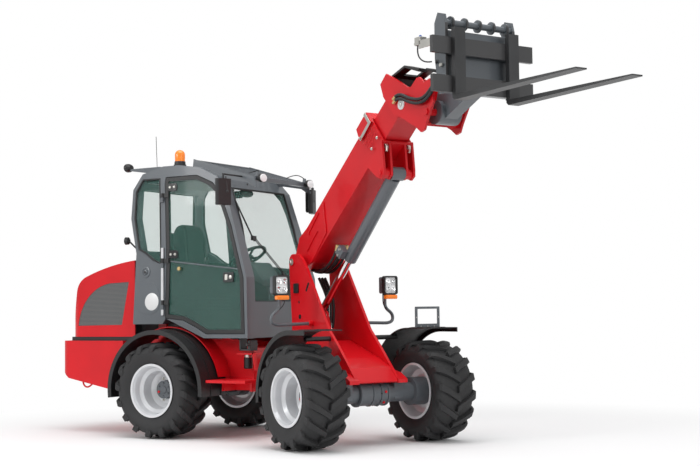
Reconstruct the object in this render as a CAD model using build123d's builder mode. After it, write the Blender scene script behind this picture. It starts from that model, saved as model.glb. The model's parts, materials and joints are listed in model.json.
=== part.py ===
from build123d import *
from math import atan2, cos, degrees, hypot, pi, radians, sin, tan
import os

os.makedirs("parts", exist_ok=True)

# Articulated telescopic wheel loader with pallet forks. All sizes are in millimetres.
# It stands on the ground, articulated to its right, with its boom raised.
# Each frame below has +X forward, +Y to the machine's left and +Z up.

# Wheels and axles
TYRE_DIAMETER = 850
TYRE_WIDTH = 390
RIM_DIAMETER = 475
RIM_WIDTH = 337
RIM_SHEET = 9
DISC_OFFSET = -70
DISC_THICKNESS = 14
DISC_HOLE_RADIUS = 84
TYRE_FACETS = 20
LUGS_PER_SIDE = 16
LUG_HEIGHT = 33
LUG_WIDTH = 46
LUG_REACH = 72
LUG_OVERLAP = 8
LUG_TILT = 5
TRACK = 1265
REAR_AXLE_TO_PIVOT = 1060
PIVOT_TO_FRONT_AXLE = 1058
HUB_RADIUS = 118
HUB_CAP_RADIUS = 80
HUB_CAP_LENGTH = 52
AXLE_TUBE_RADIUS = 58
DIFFERENTIAL_RADIUS = 102
DIFFERENTIAL_WIDTH = 290

# Pose in which the machine is stored
ARTICULATION_ANGLE = -24.75
BOOM_ANGLE = 40.4

# Rear frame
REAR_OVERHANG = 1400
CHASSIS_HALF_WIDTH = 360
CHASSIS_PLATE = 30
CHASSIS_TOP = 870
CHASSIS_BOTTOM = 420
CHASSIS_FRONT = 800
CHASSIS_REAR = -920
PIVOT_PIN_RADIUS = 32
PIVOT_EAR_RADIUS = 95
PIVOT_LOWER_EAR = 372
PIVOT_UPPER_EAR = 656
PIVOT_EAR_PLATE = 34

ARCH_RADIUS = 552
ARCH_SHEET = 8
ARCH_START = 12
ARCH_END = 112
ARCH_HALF_WIDTH = 540

HINGE_X = -425
HINGE_Z = 1590
HINGE_RADIUS = 12
HINGE_PIN = 6

# Counterweight and hood
WEIGHT_HALF_WIDTH = 530
WEIGHT_TOP = 858
HOOD_HALF_WIDTH = 500
HOOD_BOTTOM = 895
HOOD_REAR = 1245
HOOD_FRONT = -440
HOOD_TOP = 1600
HOOD_SHELL = 12
HOOD_CORNER = 120
GRILLE_DEPTH = 9
GRILLE_RECESS = 3
HOOD_HINGE_Y = 250
HOOD_KNUCKLE = 50

# Cab
CAB_HALF_WIDTH_AT_GROUND = 620
CAB_LEAN = 2.86
CAB_WALL = 42
CAB_FLOOR = 925
CAB_BOTTOM = 883
CAB_REAR_BOTTOM = 1010
CAB_ROOF_SPLIT = 2362
DOOR_GAP = 6
DOOR_THICKNESS = 32
GLASS = 6
WINDSCREEN_BOTTOM = 1200

# Front frame
TOWER_HALF_WIDTH = 220
TOWER_PLATE = 25
BOOM_PIN_X = 235
BOOM_PIN_Z = 1540
BOOM_PIN_RADIUS = 30
NOSE_HALF_WIDTH = 290
NOSE_BOTTOM = 510

# Boom, measured along the boom from its pin
OUTER_BOOM_HALF_WIDTH = 140
OUTER_BOOM_TOP = 150
OUTER_BOOM_BOTTOM = -131
OUTER_BOOM_PLATE = 12
OUTER_BOOM_START = 150
OUTER_BOOM_END = 1580
INNER_BOOM_HALF_WIDTH = 116
INNER_BOOM_TOP = 122
INNER_BOOM_BOTTOM = -108
INNER_BOOM_PLATE = 10
INNER_BOOM_START = 560
INNER_BOOM_END = 1960
ROOT_PLATE = 8
EAR_PLATE = 20
SLIDE_PAD = 80
HEAD_HALF_WIDTH = 182
HEAD_PLATE = 20
TILT_PIN_S = 2150
TILT_PIN_N = -415
TILT_PIN_RADIUS = 27
TILT_HUB_RADIUS = 92

# Lift cylinder
LIFT_EAR_S = 1387
LIFT_EAR_N = -300
LIFT_FOOT_X = 310
LIFT_FOOT_Z = 1060
LIFT_FOOT_HALF_WIDTH = 45
LIFT_BARREL_RADIUS = 58
LIFT_BARREL_LENGTH = 950
LIFT_ROD_RADIUS = 32
LIFT_EAR_GAP = 66
LIFT_PIN_RADIUS = 25
CYLINDER_FIT = 0.4

# Steering cylinder
STEER_REAR_X = 500
STEER_REAR_Y = 220
STEER_FRONT_X = 80
STEER_FRONT_Y = 200
STEER_LEVEL = 560
STEER_BARREL_RADIUS = 34
STEER_ROD_RADIUS = 17
STEER_BARREL_LENGTH = 370
STEER_PIN_RADIUS = 17

# Fork carriage
CARRIAGE_FRONT_X = 2620
CARRIAGE_HALF_WIDTH = 478
CARRIAGE_BAR = 34
CARRIAGE_HEIGHT = 407
BAR_HEIGHT = 124
LOWER_BAR_BOTTOM = 2687
HOOK_SPACING = 668
HOOK_PLATE = 24
HOOK_ABOVE = 200
FORK_SPACING = 514
FORK_WIDTH = 98
FORK_THICKNESS = 40
FORK_TIP_X = 3903
FORK_BOTTOM = 2629
FORK_TOP = 3164

# Small clearances
SEAT_GAP = 0.3
PIN_FIT = 0.3

# Side of a cut that reaches past the whole machine
PAST_EVERYTHING = 6000


def placed(frame, origin, x_dir=(1, 0, 0), z_dir=(0, 0, 1)):
    """Plane given in the directions of a frame."""
    return Plane(frame * Plane(origin, x_dir=x_dir, z_dir=z_dir))


# Frames: the row frame's origin is below the middle of the whole machine
turn = radians(ARTICULATION_ANGLE)
fork_edge = FORK_SPACING / 2 + FORK_WIDTH / 2
foremost = REAR_AXLE_TO_PIVOT + cos(turn) * FORK_TIP_X - sin(turn) * fork_edge
rightmost = sin(turn) * FORK_TIP_X - cos(turn) * fork_edge
leftmost = TRACK / 2 + TYRE_WIDTH / 2
MIDDLE_X = (foremost - REAR_OVERHANG) / 2
MIDDLE_Y = (leftmost + rightmost) / 2
REAR = Plane((-MIDDLE_X, -MIDDLE_Y, 0))
FRONT = placed(REAR, (REAR_AXLE_TO_PIVOT, 0, 0), x_dir=(cos(turn), sin(turn), 0))
lift = radians(BOOM_ANGLE)
BOOM = placed(
    FRONT, (BOOM_PIN_X, 0, BOOM_PIN_Z), x_dir=(cos(lift), 0, sin(lift)), z_dir=(-sin(lift), 0, cos(lift))
)


def side(frame, y=0):
    """Plane seen from the machine's right: its x is forward and its y is up."""
    return placed(frame, (0, y, 0), x_dir=(1, 0, 0), z_dir=(0, -1, 0))


def level(frame, z=0):
    """Level plane at a height: its x is forward and its y is to the left."""
    return placed(frame, (0, 0, z), x_dir=(1, 0, 0), z_dir=(0, 0, 1))


def across(frame, x=0):
    """Plane across the machine: its x is to the left and its y is up."""
    return placed(frame, (x, 0, 0), x_dir=(0, 1, 0), z_dir=(1, 0, 0))


def outline(*points):
    """Closed outline of straight runs, filled as a face that looks out of its plane."""
    following = points[1:] + points[:1]
    area = sum(a[0] * b[1] - b[0] * a[1] for a, b in zip(points, following))
    Polygon(*(points if area > 0 else points[::-1]), align=None)


def boom_point(s, n):
    """Point of the boom frame, given in the front frame."""
    return (
        BOOM_PIN_X + s * cos(lift) - n * sin(lift),
        BOOM_PIN_Z + s * sin(lift) + n * cos(lift),
    )


wheel_radius = TYRE_DIAMETER / 2
rim_radius = RIM_DIAMETER / 2
barrel_radius = rim_radius - 22


def wheel_frame(frame, x, hand):
    """Frame at a wheel's centre: its +Z points away from the machine and its +X points down."""
    return placed(frame, (x, hand * TRACK / 2, wheel_radius), x_dir=(0, 0, -1), z_dir=(0, hand, 0))


WHEELS = {
    "front_right": wheel_frame(FRONT, PIVOT_TO_FRONT_AXLE, -1),
    "front_left": wheel_frame(FRONT, PIVOT_TO_FRONT_AXLE, 1),
    "rear_right": wheel_frame(REAR, 0, -1),
    "rear_left": wheel_frame(REAR, 0, 1),
}


def lug_plane(angle, radius, out=0, tilt=0):
    """Plane on a tyre's tread: its x runs round the tyre, its y outwards and its z off the axle."""
    turned = radians(angle)
    leaned = radians(tilt)
    return Plane(
        (radius * cos(turned), radius * sin(turned), out),
        x_dir=(-sin(turned), cos(turned), 0),
        z_dir=(cos(turned) * cos(leaned), sin(turned) * cos(leaned), sin(leaned)),
    )


def tyre_form():
    """Tyre about the Z axis with two rows of bars whose inner ends reach the ground first."""
    half = TYRE_WIDTH / 2
    bead = RIM_WIDTH / 2 - 6
    crown = wheel_radius - LUG_HEIGHT
    sections = (
        (half, wheel_radius - 100),
        (half - 12, wheel_radius - 62),
        (half - 52, crown),
    )
    with BuildPart(mode=Mode.PRIVATE) as form:
        for side_hand in (-1, 1):
            for out, radius in sections if side_hand < 0 else sections[::-1]:
                with BuildSketch(Plane.XY.offset(side_hand * out)):
                    RegularPolygon(radius, TYRE_FACETS)
        loft(ruled=True)
        for side_hand in (-1, 1):
            with BuildSketch(Plane.XY.offset(side_hand * half)):
                RegularPolygon(sections[0][1] - 4, TYRE_FACETS)
            with BuildSketch(Plane.XY.offset(side_hand * bead)):
                RegularPolygon(rim_radius + 10, TYRE_FACETS)
            loft(ruled=True, mode=Mode.SUBTRACT)
        with BuildSketch(Plane.XY.offset(-half)):
            RegularPolygon(barrel_radius + SEAT_GAP, TYRE_FACETS, major_radius=False)
        extrude(amount=TYRE_WIDTH, mode=Mode.SUBTRACT)

        pitch = 360 / LUGS_PER_SIDE
        top = (wheel_radius**2 - LUG_REACH**2) ** 0.5
        lead = degrees(atan2(LUG_REACH, top))
        for side_hand, phase in ((1, 0), (-1, pitch / 2)):
            bars = [
                lug_plane(phase - lead + pitch * step, top, -side_hand * LUG_OVERLAP, side_hand * LUG_TILT)
                for step in range(LUGS_PER_SIDE)
            ]
            with BuildSketch(*bars):
                outline(
                    (LUG_REACH, 0),
                    (LUG_REACH - LUG_WIDTH, 0),
                    (-LUG_REACH - 16, side_hand * (half + LUG_OVERLAP - 4)),
                    (LUG_WIDTH - LUG_REACH - 10, side_hand * (half + LUG_OVERLAP - 4)),
                )
            extrude(amount=-2.6 * LUG_HEIGHT)
    return form.part


# Tyres: the right ones are the left one seen in a mirror, so that all roll the same way
tyre_forward = tyre_form()
tyre_mirrored = mirror(tyre_forward, about=Plane.XZ, mode=Mode.PRIVATE)
for corner, wheel in WHEELS.items():
    with BuildPart() as tyre:
        add((tyre_forward if corner.endswith("left") else tyre_mirrored).moved(wheel.location))
    tyre.part.label = f"tyre_{corner}"
    export_step(tyre.part, f"parts/tyre_{corner}.step")

# Rims: a deep dish whose disc sits on the hub, far inside
for corner, wheel in WHEELS.items():
    edge = RIM_WIDTH / 2
    flange = edge - 6 + SEAT_GAP
    inner = barrel_radius - RIM_SHEET
    disc = DISC_OFFSET + DISC_THICKNESS
    with BuildPart() as rim:
        with BuildSketch(Plane(wheel.origin, x_dir=wheel.x_dir, z_dir=-wheel.y_dir)):
            outline(
                (rim_radius - 20, -edge),
                (rim_radius, -edge),
                (rim_radius, -flange),
                (barrel_radius, -flange),
                (barrel_radius, flange),
                (rim_radius, flange),
                (rim_radius, edge),
                (rim_radius - 20, edge),
                (inner, edge - 26),
                (inner - 8, edge - 78),
                (inner - 36, edge - 100),
                (inner - 46, disc + 30),
                (inner - 84, disc),
                (DISC_HOLE_RADIUS, disc),
                (DISC_HOLE_RADIUS, DISC_OFFSET),
                (inner - 60, DISC_OFFSET),
                (inner - 20, DISC_OFFSET - 12),
                (inner, 26 - edge),
            )
        revolve(axis=Axis(wheel.origin, wheel.z_dir))
    rim.part.label = f"rim_{corner}"
    export_step(rim.part, f"parts/rim_{corner}.step")


def axle(frame, x, name, seat_y):
    """Rigid axle: differential drum, two tubes, hub flanges and a drive motor."""
    reach = TRACK / 2 + DISC_OFFSET - SEAT_GAP
    centre = placed(side(frame), (x, wheel_radius, 0))
    with BuildPart() as beam:
        with BuildSketch(centre):
            Circle(DIFFERENTIAL_RADIUS)
        extrude(amount=DIFFERENTIAL_WIDTH / 2, both=True)
        with BuildSketch(centre):
            Circle(AXLE_TUBE_RADIUS)
        extrude(amount=reach, both=True)
        with BuildSketch(centre.offset(reach - 150)):
            Circle(HUB_RADIUS)
        extrude(amount=150)
        with BuildSketch(centre.offset(-reach)):
            Circle(HUB_RADIUS)
        extrude(amount=150)
        with BuildSketch(centre):
            Circle(HUB_CAP_RADIUS)
        extrude(amount=reach + DISC_THICKNESS + HUB_CAP_LENGTH, both=True)
        with BuildSketch(centre.offset(DIFFERENTIAL_WIDTH / 2)):
            Circle(80)
        extrude(amount=100)
        with BuildSketch(level(frame, wheel_radius - 50)):
            with Locations((x, seat_y), (x, -seat_y)):
                Rectangle(150, 90)
        extrude(amount=NOSE_BOTTOM - SEAT_GAP - wheel_radius + 50)
    beam.part.label = name
    export_step(beam.part, f"parts/{name}.step")


axle(REAR, 0, "rear_axle", CHASSIS_HALF_WIDTH - CHASSIS_PLATE / 2)
axle(FRONT, PIVOT_TO_FRONT_AXLE, "front_axle", (TOWER_HALF_WIDTH + NOSE_HALF_WIDTH) / 2)

# Rear chassis: two side plates, cross plates, the pivot's ears and the steps
inside = CHASSIS_HALF_WIDTH - CHASSIS_PLATE
with BuildPart() as rear_chassis:
    with BuildSketch(side(REAR)):
        outline(
            (CHASSIS_REAR, NOSE_BOTTOM),
            (CHASSIS_REAR, CHASSIS_TOP),
            (620, CHASSIS_TOP),
            (CHASSIS_FRONT, 790),
            (CHASSIS_FRONT, CHASSIS_BOTTOM),
            (430, CHASSIS_BOTTOM),
            (260, NOSE_BOTTOM),
        )
    extrude(amount=CHASSIS_HALF_WIDTH, both=True)
    with BuildSketch(side(REAR)):
        outline(
            (-1000, 300),
            (-1000, 1000),
            (300, 1000),
            (300, CHASSIS_TOP - CHASSIS_PLATE),
            (CHASSIS_FRONT - CHASSIS_PLATE, CHASSIS_TOP - CHASSIS_PLATE),
            (CHASSIS_FRONT - CHASSIS_PLATE, 300),
        )
    extrude(amount=inside, both=True, mode=Mode.SUBTRACT)
    with BuildSketch(side(REAR)):
        with Locations((-340, 690)):
            Rectangle(60, 300)
        with Locations((330, 640)):
            Rectangle(60, 200)
    extrude(amount=inside, both=True)
    with BuildSketch(across(REAR, CHASSIS_FRONT - 100)):
        with Locations((193, STEER_LEVEL)):
            Rectangle(140, 130)
    extrude(amount=200, mode=Mode.SUBTRACT)
    for height in (PIVOT_LOWER_EAR, PIVOT_UPPER_EAR):
        with BuildSketch(level(REAR, height)):
            with BuildLine():
                Polyline(
                    (CHASSIS_FRONT - 20, -220),
                    (CHASSIS_FRONT - 20, 220),
                    (REAR_AXLE_TO_PIVOT, PIVOT_EAR_RADIUS),
                )
                ThreePointArc(
                    (REAR_AXLE_TO_PIVOT, PIVOT_EAR_RADIUS),
                    (REAR_AXLE_TO_PIVOT + PIVOT_EAR_RADIUS, 0),
                    (REAR_AXLE_TO_PIVOT, -PIVOT_EAR_RADIUS),
                )
                Line((REAR_AXLE_TO_PIVOT, -PIVOT_EAR_RADIUS), (CHASSIS_FRONT - 20, -220))
            make_face()
        extrude(amount=PIVOT_EAR_PLATE)
    with BuildSketch(level(REAR, PIVOT_LOWER_EAR - 12)):
        with Locations((REAR_AXLE_TO_PIVOT, 0)):
            Circle(PIVOT_PIN_RADIUS)
    extrude(amount=PIVOT_UPPER_EAR - PIVOT_LOWER_EAR + PIVOT_EAR_PLATE + 24)
    with BuildSketch(level(REAR, STEER_LEVEL - STEER_BARREL_RADIUS - 34)):
        with Locations((STEER_REAR_X - 40, STEER_REAR_Y)):
            Rectangle(140, 130)
        with Locations((STEER_REAR_X - 90, 0)):
            Rectangle(60, 2 * inside)
    extrude(amount=26)
    with BuildSketch(level(REAR, STEER_LEVEL - STEER_BARREL_RADIUS - 34)):
        with Locations((STEER_REAR_X, STEER_REAR_Y)):
            Circle(STEER_PIN_RADIUS)
    extrude(amount=34 + 2 * STEER_BARREL_RADIUS + 16)
    for hand in (-1, 1):
        with BuildSketch(level(REAR, 500)):
            with Locations((760, hand * 590)):
                Rectangle(420, 280)
        extrude(amount=24)
        with BuildSketch(level(REAR, CHASSIS_BOTTOM)):
            with Locations((600, hand * 450), (900, hand * 450)):
                Rectangle(20, 200)
        extrude(amount=90)
        with BuildSketch(level(REAR, CHASSIS_BOTTOM)):
            with Locations((660, hand * 365)):
                Rectangle(220, 20)
        extrude(amount=90)
    for x, top in ((500, CAB_BOTTOM), (-230, CAB_REAR_BOTTOM)):
        with BuildSketch(level(REAR, CHASSIS_TOP)):
            for hand in (-1, 1):
                with Locations((x, hand * (CHASSIS_HALF_WIDTH - CHASSIS_PLATE / 2))):
                    Rectangle(90, CHASSIS_PLATE)
        extrude(amount=top - SEAT_GAP - CHASSIS_TOP)
rear_chassis.part.label = "rear_chassis"
export_step(rear_chassis.part, "parts/rear_chassis.step")

# Arched sheets over the rear wheels, on the chassis plates
with BuildPart() as rear_arches:
    for hand in (-1, 1):
        root = CHASSIS_HALF_WIDTH + SEAT_GAP
        with BuildSketch(placed(side(REAR, hand * root), (0, wheel_radius, 0))):
            with BuildLine():
                near = CenterArc((0, 0), ARCH_RADIUS, ARCH_START, ARCH_END - ARCH_START)
                far = CenterArc((0, 0), ARCH_RADIUS + ARCH_SHEET, ARCH_START, ARCH_END - ARCH_START)
                Line(near @ 0, far @ 0)
                Line(near @ 1, far @ 1)
            make_face()
        extrude(amount=-hand * (ARCH_HALF_WIDTH - root))
rear_arches.part.label = "rear_arches"
export_step(rear_arches.part, "parts/rear_arches.step")

# Counterweight: a cast block with two cheeks beside the chassis
WEIGHT_BLOCK_FRONT = CHASSIS_REAR - SEAT_GAP
WEIGHT_CHEEK_FRONT = -560
cheek_inside = CHASSIS_HALF_WIDTH + SEAT_GAP
with BuildPart() as counterweight:
    with BuildSketch(level(REAR, 400)):
        with BuildLine():
            Polyline(
                (WEIGHT_CHEEK_FRONT, WEIGHT_HALF_WIDTH),
                (WEIGHT_CHEEK_FRONT, -WEIGHT_HALF_WIDTH),
                (-1310, -WEIGHT_HALF_WIDTH),
            )
            ThreePointArc(
                (-1310, -WEIGHT_HALF_WIDTH), (-REAR_OVERHANG, 0), (-1310, WEIGHT_HALF_WIDTH)
            )
            Line((-1310, WEIGHT_HALF_WIDTH), (WEIGHT_CHEEK_FRONT, WEIGHT_HALF_WIDTH))
        make_face()
    extrude(amount=WEIGHT_TOP - 400)
    fillet(counterweight.edges().filter_by(Axis.Z).group_by(Axis.X)[0], 90)
    with BuildSketch(side(REAR)):
        outline(
            (-1500, 350), (-1500, 660), (-1345, 590), (-1235, 505), (-700, 405), (-500, 405), (-500, 350)
        )
    extrude(amount=700, both=True, mode=Mode.SUBTRACT)
    with BuildSketch(level(REAR, 300)):
        with Locations(((WEIGHT_BLOCK_FRONT - 400) / 2, 0)):
            Rectangle(-400 - WEIGHT_BLOCK_FRONT, 2 * cheek_inside)
    extrude(amount=800, mode=Mode.SUBTRACT)
counterweight.part.label = "counterweight"
export_step(counterweight.part, "parts/counterweight.step")

# Engine: one plain block on the chassis
with BuildPart(REAR) as engine_block:
    with Locations((-700, 0, 860)):
        Box(420, 2 * inside - 2 * SEAT_GAP, 560)
engine_block.part.label = "engine_block"
export_step(engine_block.part, "parts/engine_block.step")

# Seal strip between counterweight and hood
with BuildPart() as hood_seal:
    with BuildSketch(level(REAR, WEIGHT_TOP + SEAT_GAP)):
        with Locations(((-HOOD_REAR + HOOD_FRONT) / 2 + 5, 0)):
            Rectangle(HOOD_REAR + HOOD_FRONT - 30, 2 * HOOD_HALF_WIDTH - 20)
        with Locations(((-HOOD_REAR + HOOD_FRONT) / 2 + 105, 0)):
            Rectangle(
                HOOD_REAR + HOOD_FRONT - 30, 2 * HOOD_HALF_WIDTH - 120, mode=Mode.SUBTRACT
            )
    extrude(amount=HOOD_BOTTOM - WEIGHT_TOP - 2 * SEAT_GAP)
hood_seal.part.label = "hood_seal"
export_step(hood_seal.part, "parts/hood_seal.step")


def hood_solid(inset):
    """Rounded hood shape drawn in by an amount, which then runs out of its open front and bottom."""
    past = 3 * inset
    with BuildPart(mode=Mode.PRIVATE) as form:
        with BuildSketch(side(REAR)):
            with BuildLine():
                back = Line((-HOOD_REAR, HOOD_BOTTOM - past), (85 - HOOD_REAR, HOOD_TOP - 282))
                corner = TangentArc(back @ 1, (206 - HOOD_REAR, HOOD_TOP - 140), tangent=back % 1)
                crown = TangentArc(corner @ 1, (HOOD_FRONT, HOOD_TOP), tangent=corner % 1)
                Polyline(crown @ 1, (HOOD_FRONT + past, HOOD_TOP), (HOOD_FRONT + past, HOOD_BOTTOM - past))
                Line((HOOD_FRONT + past, HOOD_BOTTOM - past), back @ 0)
            make_face()
            offset(amount=-inset)
        extrude(amount=HOOD_HALF_WIDTH - inset, both=True)
        with BuildSketch(level(REAR, HOOD_BOTTOM - past)):
            with BuildLine():
                Polyline(
                    (-HOOD_REAR + HOOD_CORNER, HOOD_HALF_WIDTH),
                    (HOOD_FRONT + past, HOOD_HALF_WIDTH),
                    (HOOD_FRONT + past, -HOOD_HALF_WIDTH),
                    (-HOOD_REAR + HOOD_CORNER, -HOOD_HALF_WIDTH),
                )
                JernArc((-HOOD_REAR + HOOD_CORNER, -HOOD_HALF_WIDTH), (-1, 0), HOOD_CORNER, -90)
                Line(
                    (-HOOD_REAR, HOOD_CORNER - HOOD_HALF_WIDTH), (-HOOD_REAR, HOOD_HALF_WIDTH - HOOD_CORNER)
                )
                JernArc((-HOOD_REAR, HOOD_HALF_WIDTH - HOOD_CORNER), (0, 1), HOOD_CORNER, -90)
            make_face()
            offset(amount=-inset)
        extrude(amount=HOOD_TOP, mode=Mode.INTERSECT)
    return form.part


def grille_solid(inset, reach):
    """Bar right through the hood with the outline of its side grilles, drawn in by an amount."""
    with BuildPart(mode=Mode.PRIVATE) as form:
        with BuildSketch(side(REAR)):
            with BuildLine():
                ThreePointArc((-1138, 998), (-985, 1290), (-700, 1395))
                Polyline((-700, 1395), (-512, 1402), (-598, 1004), (-1138, 998))
            make_face()
            offset(amount=-inset)
        extrude(amount=reach, both=True)
    return form.part


hood_outer = hood_solid(0)
hood_inner = hood_solid(HOOD_SHELL)
with BuildPart() as hood:
    add(hood_outer)
    add(hood_inner, mode=Mode.SUBTRACT)
    add(grille_solid(0, HOOD_HALF_WIDTH), mode=Mode.SUBTRACT)
    for hand in (-1, 1):
        with BuildSketch(side(REAR, hand * HOOD_HINGE_Y)):
            with Locations((HINGE_X, HINGE_Z)):
                Circle(HINGE_RADIUS)
            with Locations((HINGE_X - 20, HINGE_Z + 2)):
                Rectangle(40, 8)
            with Locations((HINGE_X, HINGE_Z)):
                Circle(HINGE_PIN + PIN_FIT, mode=Mode.SUBTRACT)
        extrude(amount=-hand * HOOD_KNUCKLE)
hood.part.label = "hood"
export_step(hood.part, "parts/hood.step")

with BuildPart() as hood_grilles:
    add(grille_solid(SEAT_GAP, HOOD_HALF_WIDTH - GRILLE_RECESS))
    with BuildSketch(side(REAR)):
        Rectangle(PAST_EVERYTHING, PAST_EVERYTHING)
    extrude(amount=HOOD_HALF_WIDTH - GRILLE_DEPTH, both=True, mode=Mode.SUBTRACT)
hood_grilles.part.label = "hood_grilles"
export_step(hood_grilles.part, "parts/hood_grilles.step")

# Cab outlines in the plane of its side wall: forward and height
CAB_PROFILE = (
    (-403, CAB_REAR_BOTTOM),
    (-388, 1658),
    (-462, 1983),
    (-448, 2251),
    (-341, 2392),
    (-103, 2450),
    (82, 2450),
    (314, 2415),
    (513, 2324),
    (613, 2215),
    (721, 1876),
    (864, 1414),
    (891, CAB_BOTTOM),
    (415, CAB_BOTTOM),
    (-22, 1060),
    (-60, CAB_REAR_BOTTOM),
)
lean = radians(CAB_LEAN)


def cab_side(hand, inset=0):
    """Plane of the cab's side wall with its normal pointing out and its y going up."""
    return placed(
        REAR,
        (0, hand * (CAB_HALF_WIDTH_AT_GROUND - inset), 0),
        x_dir=(-hand, 0, 0),
        z_dir=(0, hand * cos(lean), sin(lean)),
    )


def in_side(hand, *points):
    """Side-wall points: forward and height, mirrored for the left wall."""
    return [(-hand * x, z) for x, z in points]


def cab_solid(inset):
    """Cab volume between its leaning side walls, drawn in on every side."""
    with BuildPart(mode=Mode.PRIVATE) as form:
        with BuildSketch(side(REAR)):
            outline(*CAB_PROFILE)
            if inset:
                offset(amount=-inset, kind=Kind.INTERSECTION)
        extrude(amount=700, both=True)
        half_low = CAB_HALF_WIDTH_AT_GROUND - inset
        half_high = half_low - 2600 * tan(lean)
        with BuildSketch(across(REAR, -700)):
            outline((-half_low, 0), (half_low, 0), (half_high, 2600), (-half_high, 2600))
        extrude(amount=1900, mode=Mode.INTERSECT)
    return form.part


DOOR_OUTLINE = (
    (-33, 1062),
    (-33, 1560),
    (-76, 2290),
    (-66, 2352),
    (290, 2352),
    (470, 2275),
    (560, 2180),
    (690, 1876),
    (832, 1414),
    (860, 918),
    (440, 918),
    (330, 975),
    (180, 1040),
)
QUARTER_OUTLINE = (
    (-355, 1700),
    (-415, 1985),
    (-405, 2235),
    (-330, 2340),
    (-135, 2340),
    (-95, 1560),
    (-190, 1600),
    (-280, 1665),
)
SCREEN_OUTLINE = ((-435, WINDSCREEN_BOTTOM), (435, WINDSCREEN_BOTTOM), (410, 2215), (-410, 2215))
REAR_OUTLINE = ((-420, 1680), (420, 1680), (400, 2260), (-400, 2260))

DOOR_HINGE_OUT = 14
DOOR_HINGE_LOW = (-50, 1062)
DOOR_HINGE_HIGH = (-93, 2290)
DOOR_HINGES = (120, 500, 1100)
DOOR_KNUCKLE = 40


def door_hinge(hand):
    """Plane across a door's hinge line at its low end: x is forward, y to the left."""
    wall = cab_side(hand).offset(DOOR_HINGE_OUT)
    low = wall.from_local_coords((-hand * DOOR_HINGE_LOW[0], DOOR_HINGE_LOW[1], 0))
    high = wall.from_local_coords((-hand * DOOR_HINGE_HIGH[0], DOOR_HINGE_HIGH[1], 0))
    return Plane(low, x_dir=wall.x_dir * -hand, z_dir=high - low)


SEAT_PLATFORM = 1125
cab_outer = cab_solid(0)
with BuildPart() as cab_under:
    with BuildSketch(side(REAR)):
        Rectangle(PAST_EVERYTHING, PAST_EVERYTHING)
    extrude(amount=600, both=True)
    add(cab_outer, mode=Mode.SUBTRACT)
cab_under = cab_under.part
cab_inner = cab_solid(CAB_WALL)
with BuildPart() as cab_frame:
    add(cab_outer)
    add(cab_inner, mode=Mode.SUBTRACT)
    with BuildSketch(level(REAR, CAB_ROOF_SPLIT)):
        Rectangle(PAST_EVERYTHING, PAST_EVERYTHING)
    extrude(amount=300, mode=Mode.SUBTRACT)
    for hand in (-1, 1):
        wall = cab_side(hand)
        with BuildSketch(wall.offset(-CAB_WALL - 15)):
            outline(*in_side(hand, *DOOR_OUTLINE))
        extrude(amount=200, mode=Mode.SUBTRACT)
        with BuildSketch(wall.offset(-CAB_WALL - 15)):
            outline(*in_side(hand, *QUARTER_OUTLINE))
        extrude(amount=200, mode=Mode.SUBTRACT)
    with BuildSketch(across(REAR, 500)):
        outline(*SCREEN_OUTLINE)
    extrude(amount=500, mode=Mode.SUBTRACT)
    with BuildSketch(across(REAR, -600)):
        outline(*REAR_OUTLINE)
    extrude(amount=300, mode=Mode.SUBTRACT)
    with BuildSketch(side(REAR)):
        outline(
            (-390, 1020), (-390, SEAT_PLATFORM), (170, SEAT_PLATFORM), (250, CAB_FLOOR), (100, CAB_FLOOR)
        )
    extrude(amount=470, both=True)
    add(cab_under, mode=Mode.SUBTRACT)
    for hand in (-1, 1):
        with BuildSketch(side(REAR, hand * (HOOD_HINGE_Y + HOOD_KNUCKLE + SEAT_GAP))):
            with Locations((HINGE_X, HINGE_Z)):
                Circle(HINGE_RADIUS)
            with Locations((HINGE_X + 22, HINGE_Z)):
                Rectangle(44, 16)
        extrude(amount=-hand * 30)
        with BuildSketch(side(REAR, hand * HOOD_HINGE_Y)):
            with Locations((HINGE_X, HINGE_Z)):
                Circle(HINGE_PIN)
        extrude(amount=-hand * (HOOD_KNUCKLE + 20))
        for height in DOOR_HINGES:
            hinge = door_hinge(hand).offset(height)
            with BuildSketch(hinge):
                Circle(HINGE_RADIUS)
                with Locations((-14, -hand * 8)):
                    Rectangle(40, 12)
            extrude(amount=-DOOR_KNUCKLE)
            with BuildSketch(hinge):
                Circle(HINGE_PIN)
            extrude(amount=DOOR_KNUCKLE)
cab_frame.part.label = "cab_frame"
export_step(cab_frame.part, "parts/cab_frame.step")

with BuildPart() as cab_roof:
    add(cab_outer)
    with BuildSketch(level(REAR, CAB_ROOF_SPLIT + SEAT_GAP)):
        Rectangle(PAST_EVERYTHING, PAST_EVERYTHING)
    extrude(amount=-2500, mode=Mode.SUBTRACT)
cab_roof.part.label = "cab_roof"
export_step(cab_roof.part, "parts/cab_roof.step")

# Glass of the cab body: windscreen, rear window and two quarter windows
glass_outer = cab_solid(10)
glass_inner = cab_solid(10 + GLASS)
with BuildPart() as cab_glass:
    with BuildSketch(across(REAR, 500)):
        outline(*SCREEN_OUTLINE)
        offset(amount=-SEAT_GAP)
    extrude(amount=450)
    with BuildSketch(across(REAR, -600)):
        outline(*REAR_OUTLINE)
        offset(amount=-SEAT_GAP)
    extrude(amount=300)
    add(glass_outer, mode=Mode.INTERSECT)
    add(glass_inner, mode=Mode.SUBTRACT)
    for hand in (-1, 1):
        with BuildSketch(cab_side(hand).offset(-10 - GLASS)):
            outline(*in_side(hand, *QUARTER_OUTLINE))
            offset(amount=-SEAT_GAP)
        extrude(amount=GLASS)
cab_glass.part.label = "cab_glass"
export_step(cab_glass.part, "parts/cab_glass.step")

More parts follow.
